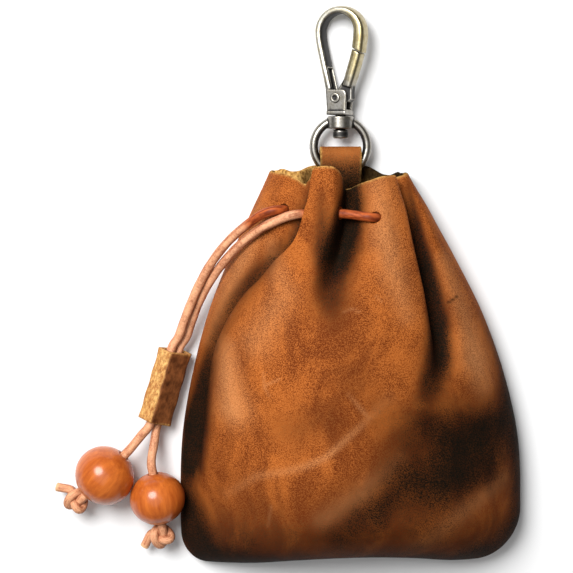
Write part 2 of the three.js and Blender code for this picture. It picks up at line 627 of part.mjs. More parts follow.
// The slot between the cheeks runs on into the foot of the leg.
const SLOT = [[-2.6, 1.6], [8, 1.6], [8, 14], [-4.2, 14], [-2.75, 6]];
const SLOT_HALF = 1.85;
function plate(outline, half) {
  const shape = new THREE.Shape(outline.map(([x, y]) => new THREE.Vector2(x, y)));
  return new THREE.ExtrudeGeometry(shape, { depth: 2 * half, bevelEnabled: false }).translate(0, 0, -half);
}
const BOW = { x: 0, y: 24.5, radius: 6.5, legWide: 2.4, deep: 5.4, noseWide: 3.7 };
const legRows = [
  { x: -2.5, y: 6, wide: 2.6, deep: BOW.deep },
  { x: -3.7, y: 11, wide: BOW.legWide, deep: BOW.deep },
  { x: -5.3, y: 17.6, wide: BOW.legWide, deep: BOW.deep },
];
const bowRows = [190, 165, 140, 115, 90, 65, 40, 15, -8].map((a) => ({
  x: BOW.x + BOW.radius * Math.cos(radians(a)),
  y: BOW.y + BOW.radius * Math.sin(radians(a)),
  wide: a > 90 ? BOW.legWide : BOW.legWide + ((BOW.noseWide - BOW.legWide) * (90 - a)) / 98,
  deep: BOW.deep,
}));
const noseRows = [
  { x: 6.1, y: 20.6, wide: BOW.noseWide, deep: 5.2 },
  { x: 5.6, y: 16.4, wide: BOW.noseWide, deep: 5 },
];
// Nose and gate part on a slanted face, so that the gate swings clear of the nose.
const PARTING = { x: 5.8, y: 18.8, slope: -28, gap: 0.4 };
function partingBlock(side) {
  const big = 12;
  return new THREE.BoxGeometry(big, big, big)
    .translate(0, side * (big / 2 - PARTING.gap / 2), 0)
    .rotateZ(radians(PARTING.slope))
    .translate(PARTING.x, PARTING.y, 0);
}
const pinHole = post(PIVOT.radius + GAP, -6, 6).rotateX(Math.PI / 2).translate(PIVOT.x, PIVOT.y, 0);
const bow = solid(bar([...legRows, ...bowRows, ...noseRows])).subtract(
  solid(partingBlock(-1)).intersect(solid(block([1.5, 8, -4], [12, 24, 4]))),
);
const base = joined(
  plate(CHEEK, BASE.deep / 2),
  block([BASE.flangeLeft, 0, -3.2], [BASE.flangeRight, BASE.flange, 3.2]),
  post(STUD.radius, STUD.headTop, 0.3),
  post(STUD.head, STUD.headBottom, STUD.headTop),
);
const hookBody = base.add(bow).subtract(solid(plate(SLOT, SLOT_HALF))).subtract(solid(pinHole));
piece("hook_body", geometryOf(hookBody), ANTIQUE_BRASS, hook);

// The gate: a tail on the pivot between the cheeks of the base, and a thicker bar up to the nose.
const GATE = { tail: 1.8, tailHalf: 1.5 };
const GATE_TAIL = [
  [PIVOT.x - 0.4, PIVOT.y + 1.6], [PIVOT.x + 0.9, PIVOT.y - 1.5], [3.3, 3.7], [4.1, 4.5], [4.1, 6.6], [4.4, 10.5],
  [1.6, 10.5],
];
const gateTail = joined(
  post(GATE.tail, -GATE.tailHalf, GATE.tailHalf).rotateX(Math.PI / 2).translate(PIVOT.x, PIVOT.y, 0),
  plate(GATE_TAIL, GATE.tailHalf),
);
const gateBar = solid(
  bar([
    { x: 2.6, y: 8.4, wide: 3.2, deep: 4.6 },
    { x: 3.6, y: 11.5, wide: 3.4, deep: 4.8 },
    { x: 5, y: 16, wide: 3.4, deep: 4.8 },
    { x: 6.1, y: 20, wide: 3.4, deep: 4.8 },
  ]),
).subtract(solid(partingBlock(1)));
piece("gate", geometryOf(gateTail.add(gateBar).subtract(solid(pinHole))), ANTIQUE_BRASS, hook);

// The rivet that the gate turns on.
const rivetHead = (side) => {
  const low = side * (BASE.deep / 2 + 0.1);
  return post(PIVOT.head, Math.min(low, low + side * 0.4), Math.max(low, low + side * 0.4));
};
const shank = post(PIVOT.radius, -BASE.deep / 2 - 0.3, BASE.deep / 2 + 0.3);
const rivet = geometryOf(joined(shank, rivetHead(1), rivetHead(-1)));
piece("gate_pin", rivet.rotateX(Math.PI / 2).translate(PIVOT.x, PIVOT.y, 0), ANTIQUE_BRASS, hook);

export default pouch;
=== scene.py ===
# %% [markdown]
# # A leather drawstring pouch on its back
#
# The pouch is two pieces of waxed leather, sewn together along the sides and the foot and gathered at the
# neck by a round lace. Both ends of the lace run through a leather slider and end in a wooden bead. A
# strap in the neck holds a swivel snap hook of antique brass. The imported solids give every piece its
# place; this lesson gives the pieces their looks. Shapes are worked out in millimetres and scaled to
# metres when a piece is done.

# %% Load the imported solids
import math

import bmesh
import bpy
import numpy as np
from mathutils import Matrix, Vector


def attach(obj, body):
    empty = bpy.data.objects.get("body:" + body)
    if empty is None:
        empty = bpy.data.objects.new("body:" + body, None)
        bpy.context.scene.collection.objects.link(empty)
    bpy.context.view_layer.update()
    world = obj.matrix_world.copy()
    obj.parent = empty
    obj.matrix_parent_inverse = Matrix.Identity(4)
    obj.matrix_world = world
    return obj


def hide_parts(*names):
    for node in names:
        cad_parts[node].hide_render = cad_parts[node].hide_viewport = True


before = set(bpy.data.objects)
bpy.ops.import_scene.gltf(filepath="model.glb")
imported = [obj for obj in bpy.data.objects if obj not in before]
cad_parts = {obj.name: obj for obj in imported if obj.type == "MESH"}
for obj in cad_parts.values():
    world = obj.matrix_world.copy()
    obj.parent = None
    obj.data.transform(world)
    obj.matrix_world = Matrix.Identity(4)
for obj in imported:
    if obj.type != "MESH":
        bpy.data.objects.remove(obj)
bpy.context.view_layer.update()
MM = 0.001
CORD = 2.7
scene = bpy.context.scene
print("solids:", ", ".join(sorted(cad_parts)))

# %% [markdown]
# The photograph looks almost straight down on the pouch, from slightly beyond the hook. A long lens keeps
# the view nearly parallel, as in catalogue pictures. The camera is set by the point it looks at, its tilt
# and the width of what it sees there.

# %% Camera
LENS = 100
SENSOR = 36
TILT = math.radians(5)
LOOK_AT = Vector((-19.35, 0.15, 8)) * MM
SEEN_WIDTH = 171.9 * MM

camera_data = bpy.data.cameras.new("photo_camera")
camera_data.lens = LENS
camera_data.sensor_width = SENSOR
camera = bpy.data.objects.new("photo_camera", camera_data)
camera.location = LOOK_AT + Vector((0, math.sin(TILT), math.cos(TILT))) * (SEEN_WIDTH * LENS / SENSOR)
camera.rotation_euler = (-TILT, 0, 0)
scene.collection.objects.link(camera)
scene.camera = camera
print("camera", [round(c, 3) for c in camera.location])

# %% [markdown]
# ## Shader arithmetic
#
# Materials here are formulas: mottling times wear plus grain. Wiring Math nodes by hand hides such a
# formula, so a small class wraps a socket and lets Python's operators add the nodes.

# %% A socket that can be calculated with
class Wire:
    def __init__(self, home, socket):
        self.home = home
        self.socket = socket

    def math(self, operation, *values):
        return self.home.node("ShaderNodeMath", {"operation": operation}, dict(enumerate(values)))

    def __add__(self, other):
        return self.math("ADD", self, other)

    def __radd__(self, other):
        return self.math("ADD", other, self)

    def __sub__(self, other):
        return self.math("SUBTRACT", self, other)

    def __rsub__(self, other):
        return self.math("SUBTRACT", other, self)

    def __mul__(self, other):
        return self.math("MULTIPLY", self, other)

    def __rmul__(self, other):
        return self.math("MULTIPLY", other, self)

    def sine(self):
        return self.math("SINE", self)

    def between(self, low, high):
        """0 below low, 1 above high, and smooth in between."""
        values = {"Value": self, "From Min": low, "From Max": high}
        return self.home.node("ShaderNodeMapRange", {"interpolation_type": "SMOOTHSTEP"}, values)


print("sockets can be added, multiplied and mapped")

# %% [markdown]
# Every other node comes from one method, which sets the node up, links its inputs and hands back an
# output. A material adds short names for the nodes that finishes use most.

# %% A tree of nodes, and a material
class Nodes:
    """A node tree, for a material or for a shape."""

    def __init__(self, tree):
        self.tree = tree

    def link(self, socket, value):
        if isinstance(value, Wire):
            self.tree.links.new(value.socket, socket)
        elif socket.type == "RGBA":
            socket.default_value = (*value, 1)
        else:
            socket.default_value = value

    def node(self, kind, settings, values, out=0):
        made = self.tree.nodes.new(kind)
        for key, value in settings.items():
            setattr(made, key, value)
        for key, value in values.items():
            self.link(made.inputs[key], value)
        return Wire(self, made.outputs[out])

    def part(self, vector, axis):
        return self.node("ShaderNodeSeparateXYZ", {}, {"Vector": vector}, axis)


class Material(Nodes):
    def __init__(self, name):
        self.data = bpy.data.materials.new(name)
        self.data.use_nodes = True
        super().__init__(self.data.node_tree)
        self.shader = self.tree.nodes["Principled BSDF"]

    def set(self, **values):
        for key, value in values.items():
            self.link(self.shader.inputs[key.replace("_", " ")], value)

    def place(self):
        """Object coordinates in millimetres."""
        position = self.node("ShaderNodeTexCoord", {}, {}, "Object")
        values = {0: position, "Scale": 1 / MM}
        return self.node("ShaderNodeVectorMath", {"operation": "SCALE"}, values, "Vector")

    def along(self):
        """A piece's own coordinates in millimetres, kept as an attribute of its mesh."""
        return self.node("ShaderNodeAttribute", {"attribute_name": "grain"}, {}, "Vector")

    def paint(self, name):
        """A value kept at the points of a mesh."""
        return self.node("ShaderNodeAttribute", {"attribute_name": name}, {}, "Fac")

    def stretched(self, vector, scale):
        return self.node("ShaderNodeVectorMath", {"operation": "MULTIPLY"}, {0: vector, 1: scale}, "Vector")

    def noise(self, vector, scale, detail=4, roughness=0.5, distortion=0):
        values = {"Vector": vector, "Scale": scale, "Detail": detail, "Roughness": roughness}
        values["Distortion"] = distortion
        return self.node("ShaderNodeTexNoise", {}, values)

    def cells(self, vector, scale):
        return self.node("ShaderNodeTexVoronoi", {}, {"Vector": vector, "Scale": scale}, "Distance")

    def blend(self, share, a, b):
        return self.node("ShaderNodeMix", {"data_type": "RGBA"}, {0: share, 6: a, 7: b}, 2)

    def bump(self, height, strength, distance):
        values = {"Height": height, "Strength": strength, "Distance": distance * MM}
        self.set(Normal=self.node("ShaderNodeBump", {}, values))


print("shader arithmetic ready")

# %% [markdown]
# ## Finishes
#
# Waxed leather lightens where it is bent and rubbed, and darkens where hands burnish it. So its colour is a
# dark brown and an orange tan, mixed by broad mottling and by two values painted on the mesh: rub, which
# also carries painted sheen, and dark, which also carries painted shade in the folds and hollows. A third
# one, raw, marks the cut edges and the flesh side inside the pouch.

# %% Waxed leather
def waxed_leather(name="mottled_waxed_leather"):
    m = Material(name)
    at = m.place()
    broad = m.noise(at, 0.03, 4, 0.5, 0.4)
    cloud = m.noise(at, 0.12, 6, 0.6, 0.3)
    speck = m.noise(at, 2.2, 3, 0.7)
    pore = m.cells(at, 2.2)
    rub = m.paint("rub")
    dark = m.paint("dark")
    raw = m.paint("raw")
    grain = m.noise(at, 3.6, 1, 0.5).between(0.36, 0.64)
    pull = m.noise(m.stretched(at, (1, 0.55, 1)), 0.07, 5, 0.6, 1.2).between(0.3, 0.7)
    mottle = broad * 0.6 + cloud * 0.7 + pull * 0.42 + grain * 0.6 - 1.16
    tan = m.blend((mottle + 0.5).between(0.05, 1), (0.13, 0.026, 0.005), (0.5, 0.14, 0.025))
    # painted sheen: the rub value also lightens faces with painted sheen, and the palest grain specks are
    # painted glints
    wear_and_sheen = m.blend(rub * (grain * 0.5 + 0.35) + grain.between(0.5, 1) * 0.06, tan, (0.68, 0.3, 0.115))
    # painted shade: the dark value darkens folds, hollows and faces turned from the lamp, as well as
    # burnished wear
    stain_and_shade = (dark * 0.95 + (cloud - 0.5) * 0.5 + (grain - 0.5) * 0.42).between(0, 1)
    burnish_and_shade = m.blend(stain_and_shade, wear_and_sheen, (0.007, 0.0058, 0.0038))
    flesh = m.blend(m.noise(at, 0.9, 5, 0.7).between(0.3, 0.7), (0.18, 0.07, 0.014), (0.8, 0.46, 0.14))
    # painted shade: the dark value also darkens the flesh side, most of all inside the open mouth
    soil_and_shade = m.blend(dark * 0.95, flesh, (0.008, 0.005, 0.003))
    m.set(
        Base_Color=m.blend(raw, burnish_and_shade, soil_and_shade),
        Roughness=0.56 - cloud * 0.1 + speck * 0.1 + raw * 0.3,
        Specular_IOR_Level=0.012,
    )
    nap = raw * m.noise(at, 2.6, 4)
    m.bump(pore * 0.4 + speck * 0.8 + grain * 0.5 + cloud * 1.2 + nap * 1.4, 0.4, 0.25)
    return m.data


LEATHER_FINISH = waxed_leather()
print("made", LEATHER_FINISH.name)

# %% [markdown]
# The lace is cut from undyed hide and rounded, so its grain runs along it. Its mesh carries coordinates
# that follow it: how far along the lace a point lies, how high above the core, and how far round.
# Stretching the noise along the first gives fibres. The top of the lace is paler than the flanks: partly
# its flesh side, partly a painted highlight where the lamp falls. Where the lace runs inside the pouch it
# has taken up oil from the leather and is rust red, and this also shows just outside its holes. The slider
# is a scrap of thick hide: pitted and pale on the flesh side, dark and smooth on the grain side.

# %% Lace and slider leather
def lace(name="round_lace"):
    m = Material(name)
    at = m.along()
    fibre = m.noise(m.stretched(at, (0.16, 1.1, 1.1)), 1.6, 5, 0.6)
    patch = m.noise(m.stretched(at, (0.12, 0.4, 0.4)), 1, 4, 0.55)
    fine = m.noise(m.stretched(at, (0.8, 2, 2)), 2.4, 3)
    # painted highlight: the higher a point lies on the lace, the paler, partly for the flesh side and
    # partly for the light from above
    flesh_side_and_top_light = m.part(at, "Y") * (1 / CORD)
    tone = (flesh_side_and_top_light * 0.6 + fibre * 1.1 + patch * 0.9 + fine * 0.9 - 1.08).between(0.1, 0.95)
    pale = m.paint("raw")
    color = m.blend(tone, (0.26, 0.058, 0.019), (0.8, 0.4, 0.215))
    rust = m.blend(fibre.between(0.35, 0.65), (0.16, 0.024, 0.005), (0.48, 0.1, 0.02))
    oiled = m.blend(m.paint("oiled"), color, rust)
    m.set(
        Base_Color=m.blend(pale, oiled, (0.72, 0.45, 0.24)),
        Roughness=0.46 + fine * 0.16,
        Specular_IOR_Level=0.22,
    )
    m.bump(fibre * 0.6 + fine * 0.5, 0.3, 0.18)
    return m.data


def slider_leather(name="slider_leather"):
    m = Material(name)
    at = m.along()
    raw = m.paint("raw")
    fuzz = m.noise(m.stretched(at, (1, 0.45, 1)), 1.1, 6, 0.7)
    pits = m.cells(m.stretched(at, (1, 0.7, 1)), 1.7)
    pit = 1 - pits.between(0.12, 0.36)
    tone = m.noise(at, 0.35, 4)
    fibrous = (fuzz * 1.5 + tone * 0.5 - 0.65).between(0.1, 0.8)
    rough = m.blend(fibrous, (0.36, 0.13, 0.025), (0.9, 0.54, 0.18))
    pitted = m.blend(pit * 0.55, rough, (0.11, 0.042, 0.012))
    smooth = m.blend((tone + fuzz - 0.5).between(0.2, 0.8), (0.09, 0.026, 0.008), (0.34, 0.115, 0.036))
    m.set(Base_Color=m.blend(raw, smooth, pitted), Roughness=0.42 + raw * 0.4, Specular_IOR_Level=0.4)
    m.bump(fuzz * (0.3 + raw) - pit * raw * 0.8, 0.45, 0.3)
    return m.data


LACE_FINISH = lace()
SLIDER_FINISH = slider_leather()
print("made", LACE_FINISH.name, SLIDER_FINISH.name)

# %% [markdown]
# The beads are turned from an orange-brown wood and lacquered. The grain of the wood runs along the bore,
# so the noise that colours it is stretched that way: broad streaks, and dark flecks for the pores. The
# lacquer is the shader's coat, over a fairly dull wood.

# %% Bead wood
def bead_wood(name="lacquered_bead_wood"):
    m = Material(name)
    at = m.along()
    warp = m.noise(m.stretched(at, (0.5, 0.12, 0.5)), 0.5, 4, 0.55)
    streak = m.noise(m.stretched(at, (1.2, 0.1, 1.2)), 0.7, 5, 0.62)
    fleck = m.noise(m.stretched(at, (3.2, 0.3, 3.2)), 1.2, 2)
    tone = (warp * 0.6 + streak * 0.6 - 0.1).between(0.2, 0.85)
    color = m.blend(tone, (0.34, 0.06, 0.009), (0.68, 0.18, 0.026))
    m.set(
        Base_Color=m.blend(fleck.between(0.6, 0.78) * 0.5, color, (0.28, 0.07, 0.014)),
        Roughness=0.34 + streak * 0.1,
        Specular_IOR_Level=0.1,
        Coat_Weight=0.7,
        Coat_Roughness=0.2,
    )
    m.bump(fleck * 0.4 + streak * 0.3, 0.1, 0.12)
    return m.data


BEAD_FINISH = bead_wood()
print("made", BEAD_FINISH.name)

# %% [markdown]
# Antique brass is plated, blackened and rubbed off again: bright on edges and faces, nearly black in the
# corners. The mesh carries how deep in a corner each point lies, and painted shade on the inside of each
# eye. The bow has been handled most: it is silvery on its left and yellowish on the side of the gate, while
# the ring below has stayed grey. Fine scratches run along the hook.

# %% Antique brass
def antique_brass(name="rubbed_antique_brass"):
    m = Material(name)
    at = m.place()
    brushed = m.noise(m.stretched(at, (3.5, 0.35, 3.5)), 1, 3, 0.6)
    stain = m.noise(at, 0.7, 5, 0.7)
    pit = m.noise(at, 2.2, 3, 0.6)
    # painted shade: the hollow value also darkens the inside of each eye
    hollow = m.paint("hollow")
    bow = m.part(at, "Y").between(58, 66)
    soot_and_shade = (hollow * 1.1 + stain * 0.8 + pit * 0.4 - 0.26 - bow * 0.27).between(0.1, 0.8)
    gate_side = m.part(at, "X").between(-5, 0.5)
    grey = m.blend(stain.between(0.35, 0.7), (0.34, 0.325, 0.3), (0.25, 0.225, 0.175))
    silver = m.blend(stain.between(0.35, 0.7), (0.7, 0.68, 0.6), (0.56, 0.5, 0.36))
    yellow = m.blend(stain.between(0.35, 0.7), (0.46, 0.4, 0.25), (0.32, 0.25, 0.11))
    bright = m.blend(bow, grey, m.blend(gate_side, silver, yellow))
    m.set(
        Base_Color=m.blend(soot_and_shade, bright, (0.045, 0.043, 0.042)),
        Metallic=1.0,
        Roughness=0.27 + brushed * 0.12 + soot_and_shade * 0.2,
    )
    m.bump(brushed * 0.4 + pit * 0.5, 0.14, 0.1)
    return m.data


BRASS_FINISH = antique_brass()
print("made", BRASS_FINISH.name)

# %% [markdown]
# ## From numbers to pieces
#
# Each piece starts as points in millimetres and a list of faces. The first helper makes the mesh and
# stores the values painted on it. The last one scales a finished piece to metres, gives it its finish,
# lets it ride on its body and hides the plain solid that it stands for.

# %% Piece maker
def mesh_from(name, points, faces, paints):
    mesh = bpy.data.meshes.new(name)
    mesh.from_pydata([tuple(p) for p in points], [], [tuple(int(i) for i in f) for f in faces])
    shape = bmesh.new()
    shape.from_mesh(mesh)
    bmesh.ops.recalc_face_normals(shape, faces=shape.faces)
    shape.to_mesh(mesh)
    shape.free()
    for key, values in paints.items():
        values = np.asarray(values, dtype=np.float32)
        kind, field = ("FLOAT_VECTOR", "vector") if values.ndim == 2 else ("FLOAT", "value")
        mesh.attributes.new(key, kind, "POINT").data.foreach_set(field, values.ravel())
    mesh.shade_smooth()
    return mesh


def object_from(name, mesh):
    made = bpy.data.objects.new(name, mesh)
    scene.collection.objects.link(made)
    return made


def baked(made):
    """Replaces an object's mesh by what its modifiers make of it."""
    made_mesh = bpy.data.meshes.new_from_object(made.evaluated_get(bpy.context.evaluated_depsgraph_get()))
    made.modifiers.clear()
    made.data = made_mesh
    return made


def settle(made, material, body, node):
    made.data.transform(Matrix.Scale(MM, 4))
    made.data.materials.clear()
    made.data.materials.append(material)
    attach(made, body)
    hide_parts(node)
    print(made.name, "stands for", node, "with", len(made.data.polygons), "faces")
    return made


print("piece maker ready")

# %% [markdown]
# ## The lace
#
# The lace is one length: round the neck, out of two holes, and down to the beads. A route is a short list
# of points, as in the solids, with a smooth curve through them whose bends keep an even tension (a
# centripetal Catmull-Rom curve). The faces of a tube, with closed ends or joined to itself, serve the
# lace's neighbours further on.

# %% A smooth route, and the faces of a tube
LACE_STEP = 0.55
CURVE_STEPS = 24


def smooth_route(points, spacing):
    points = np.asarray(points, dtype=float)
    padded = np.vstack([2 * points[0] - points[1], points, 2 * points[-1] - points[-2]])
    dense = []
    for k in range(len(points) - 1):
        p0, p1, p2, p3 = padded[k : k + 4]
        d0, d1, d2 = (np.sqrt(np.linalg.norm(b - a)) for a, b in ((p0, p1), (p1, p2), (p2, p3)))
        leaving = ((p1 - p0) / d0 - (p2 - p0) / (d0 + d1) + (p2 - p1) / d1) * d1
        arriving = ((p2 - p1) / d1 - (p3 - p1) / (d1 + d2) + (p3 - p2) / d2) * d1
        t = np.linspace(0, 1, CURVE_STEPS, endpoint=False)[:, None]
        cubic = 2 * p1 - 2 * p2 + leaving + arriving
        square = -3 * p1 + 3 * p2 - 2 * leaving - arriving
        dense.append(p1 + leaving * t + square * t**2 + cubic * t**3)
    dense = np.vstack([*dense, points[-1:]])
    run = np.concatenate([[0], np.cumsum(np.linalg.norm(np.diff(dense, axis=0), axis=1))])
    stops = np.linspace(0, run[-1], max(2, int(run[-1] / spacing) + 1))
    return np.stack([np.interp(stops, run, dense[:, c]) for c in range(3)], axis=1)


def ring_faces(rings, sides):
    """Faces of a tube whose last ring joins its first."""
    faces = []
    for k in range(rings):
        n = (k + 1) % rings
        for i in range(sides):
            j = (i + 1) % sides
            faces.append((k * sides + i, k * sides + j, n * sides + j, n * sides + i))
    return faces


def tube_faces(rings, sides):
    """Faces of a tube with closed ends."""
    ends = [tuple(range(sides))[::-1], tuple(range((rings - 1) * sides, rings * sides))]
    return ring_faces(rings, sides)[: (rings - 1) * sides] + ends


print("routes have a point every", LACE_STEP, "mm")

# %% [markdown]
# The lace itself is grown on its route by a tree of geometry nodes. This class holds such a tree: its
# named inputs, the few nodes that it needs often, and the way from a line of points to a plain mesh.

# %% A geometry tree with named inputs
class Recipe(Nodes):
    """A geometry tree that makes a shape from a line of points."""

    def __init__(self, name, inputs):
        super().__init__(bpy.data.node_groups.new(name, "GeometryNodeTree"))
        self.tree.interface.new_socket("Geometry", in_out="OUTPUT", socket_type="NodeSocketGeometry")
        for key, kind in {"Line": "Geometry", **inputs}.items():
            self.tree.interface.new_socket(key, in_out="INPUT", socket_type="NodeSocket" + kind)
        self.start = self.tree.nodes.new("NodeGroupInput")
        self.end = self.tree.nodes.new("NodeGroupOutput")

    def given(self, key):
        return Wire(self, self.start.outputs[key])

    def stored(self, name, kind="FLOAT"):
        return self.node("GeometryNodeInputNamedAttribute", {"data_type": kind}, {"Name": name})

    def store(self, shape, name, value, kind="FLOAT"):
        values = {"Geometry": shape, "Name": name, "Value": value}
        return self.node("GeometryNodeStoreNamedAttribute", {"data_type": kind, "domain": "POINT"}, values)

    def finish(self, shape, material):
        shape = self.node("GeometryNodeSetShadeSmooth", {}, {"Geometry": shape})
        shape = self.node("GeometryNodeRealizeInstances", {}, {"Geometry": shape})
        shape = self.node("GeometryNodeSetMaterial", {}, {"Geometry": shape, "Material": material})
        self.link(self.end.inputs["Geometry"], shape)

    def grow(self, name, points, values):
        mesh = bpy.data.meshes.new(name)
        mesh.from_pydata([tuple(p) for p in points], [(k, k + 1) for k in range(len(points) - 1)], [])
        made = object_from(name, mesh)
        step = made.modifiers.new(self.tree.name, "NODES")
        step.node_group = self.tree
        for socket in self.tree.interface.items_tree:
            if socket.in_out == "INPUT" and socket.name in values:
                step[socket.identifier] = values[socket.name]
        return baked(made)


print("geometry trees ready")

# %% [markdown]
# The lace's tree turns the line of points into a curve, sweeps a round section along it and closes the
# ends. It also stores what the finish needs at each point: how far along the lace it lies, how high above
# the core, and how rust red or how pale it is. The thickness is an input, so the same tree makes the
# drills for the holes.

# %% A lace grown on a route
CORD_SIDES = 20
SWELL = 0.02
SWELLS_PER_MM = 0.9
RAW_EDGE = 0.6
OIL_EDGE = 5


def lace_recipe():
    sizes = {"Thickness": "Float", "Sides": "Int", "Oiled": "Float", "Raw tail": "Float"}
    r = Recipe("lace_on_a_route", {**sizes, "Finish": "Material"})
    position = r.node("GeometryNodeInputPosition", {}, {})
    run = r.node("GeometryNodeSplineParameter", {}, {}, "Length")
    line = r.node("GeometryNodeMeshToCurve", {}, {"Mesh": r.given("Line")})
    line = r.store(line, "run", run)
    line = r.store(line, "to_go", r.node("GeometryNodeSplineLength", {}, {}, "Length") - run)
    line = r.store(line, "core", position, "FLOAT_VECTOR")
    values = {"Resolution": r.given("Sides"), "Radius": r.given("Thickness") * 0.5}
    section = r.node("GeometryNodeCurvePrimitiveCircle", {"mode": "RADIUS"}, values)
    turn = r.node("GeometryNodeSplineParameter", {}, {}, "Factor") * (2 * math.pi)
    section = r.store(section, "turn", turn)
    scale = 1 + SWELL * (run * SWELLS_PER_MM).sine()
    values = {"Curve": line, "Profile Curve": section, "Scale": scale, "Fill Caps": True}
    tube = r.node("GeometryNodeCurveToMesh", {}, values)
    values = {0: position, 1: r.stored("core", "FLOAT_VECTOR")}
    above = r.part(r.node("ShaderNodeVectorMath", {"operation": "SUBTRACT"}, values, "Vector"), "Z")
    around = r.stored("turn").sine() * (CORD / 2)
    grain = r.node("ShaderNodeCombineXYZ", {}, {"X": r.stored("run"), "Y": above, "Z": around})
    tube = r.store(tube, "grain", grain, "FLOAT_VECTOR")
    tube = r.store(tube, "raw", (r.given("Raw tail") - r.stored("to_go")).between(0, RAW_EDGE))
    tube = r.store(tube, "oiled", (r.given("Oiled") - r.stored("run")).between(0, OIL_EDGE))
    for name in ("run", "to_go", "core", "turn"):
        tube = r.node("GeometryNodeRemoveAttribute", {}, {"Geometry": tube, "Name": name})
    r.finish(tube, r.given("Finish"))
    return r


LACE_RECIPE = lace_recipe()


def lace_along(name, route, raw_tail=0.0, oiled=0.0, thickness=CORD):
    """A lace whose first oiled millimetres are rust red, and whose last raw_tail millimetres are pale."""
    values = {"Thickness": thickness, "Sides": CORD_SIDES, "Oiled": oiled, "Raw tail": raw_tail}
    return LACE_RECIPE.grow(name, smooth_route(route, LACE_STEP), {**values, "Finish": LACE_FINISH})


print("lace", CORD, "mm thick with", CORD_SIDES, "sides")

# %% [markdown]
# The plan of the pouch comes next, because the lace follows the neck. It is the table that the solids are
# made from: at each height the two side seams, how high they lie, how high the front crowns and how it
# leans. The front's rim dips a little more beside the central ridge than in the solids, because the
# photograph shows the flesh side there.

# %% Plan of the pouch
LEATHER = 1.6
GAP = 0.3
FOOT_Y = -82.4
MOUTH_Y = 36
STRING_Y = 21.5
CORNER_RADIUS = {"left": 9, "right": 15}
FOOT_RADIUS = 17
BACK_RADIUS = 8
BACK_FLAT = {"left": 4.5, "right": 1.9}
FOOT_REACH = 30


def table(columns, *rows):
    return [dict(zip(columns, row)) for row in rows]


SECTIONS = table(
    ("y", "left", "right", "seam_left", "seam_right", "crown", "lean_left", "lean_right", "crest"),
    (-84, -51.3, 51.4, 3, 5, 35, 1.6, 1.3, -4),
    (-66, -51.9, 52, 2.2, 5, 38, 2.4, 1.35, -6),
    (-46, -51.2, 51, 2.2, 5, 40, 2.4, 1.4, -6),
    (-27, -48, 46.7, 2.8, 5, 39, 1.9, 1.35, -5),
    (-8, -43, 39.8, 4, 5, 36, 1.5, 1.25, -3),
    (9, -36.4, 31.2, 5, 5, 33, 1.2, 1.15, -1),
    (21.5, -30.4, 24.3, 5, 5, 30, 1.05, 1.05, 0),
    (36, -24.4, 17.1, 5, 5, 27.5, 1.05, 1.05, 0),
)
FOOT = table(
    ("x", "rise"),
    (-52, -3), (-41, -2.6), (-29, -1.7), (-17, -0.3), (-5, 0.5),
    (7, 0.6), (19, 0), (31, -1.2), (43, -1.2), (52, -0.8),
)
FRONT_RIM = table(
    ("x", "drop"),
    (-25, 1.4), (-20, 2.2), (-16, 3.2), (-13.6, 3.6), (-12.2, 0.4),
    (-4, 0), (0, 1), (5, 2.4), (12, 2.4), (18, 2.1),
)
BACK_RIM = table(
    ("x", "drop"),
    (-25, 1.4), (-22, 1.5), (-19, 0.5), (-12, 0), (4, 0), (8, 0.5), (12, 1.8), (18, 2.1),
)
print("pouch", SECTIONS[1]["right"] - SECTIONS[1]["left"], "mm wide,", MOUTH_Y - FOOT_Y, "mm tall")

# %% [markdown]
# A smooth curve through the rows of a table gives every height in between. It has the same slope on both
# sides of a row, so no crease shows there.

# %% Reading the plan
def fade(t):
    t = np.clip(t, 0, 1)
    return t * t * (3 - 2 * t)


def rounded(t):
    return np.sqrt(1 - (1 - np.clip(t, 0, 1)) ** 2)


def read(rows, column, place, by="y"):
    """A column of a table at a place, on a smooth curve through its rows."""
    stops = np.array([row[by] for row in rows], dtype=float)
    values = np.array([row[column] for row in rows], dtype=float)
    last = len(stops) - 1
    before = np.maximum(np.arange(last + 1) - 1, 0)
    after = np.minimum(np.arange(last + 1) + 1, last)
    slope = (values[after] - values[before]) / (stops[after] - stops[before])
    place = np.clip(place, stops[0], stops[-1])
    i = np.clip(np.searchsorted(stops, place, side="right") - 1, 0, last - 1)
    span = stops[i + 1] - stops[i]
    t = (place - stops[i]) / span
    rise = t * t * (3 - 2 * t)
    leaving = t * (1 - t) ** 2 * span * slope[i]
    arriving = t * t * (t - 1) * span * slope[i + 1]
    return values[i] * (1 - rise) + values[i + 1] * rise + leaving + arriving


def section(y):
    cut = {side: radius * (1 - rounded((y - FOOT_Y) / radius)) for side, radius in CORNER_RADIUS.items()}
    left = read(SECTIONS, "left", y) + cut["left"]
    right = read(SECTIONS, "right", y) - cut["right"]
    return (left + right) / 2, (right - left) / 2


print("half width at the string", round(float(section(STRING_Y)[1]), 1), "mm")

# %% [markdown]
# Now the routes themselves. The run round the neck is an ellipse just inside the gathered wall. Each free
# end leaves its hole, falls over the left shoulder of the pouch, runs through the slider, lies on the
# floor and enters its bead. The free ends are a little smoother here than in the solids.

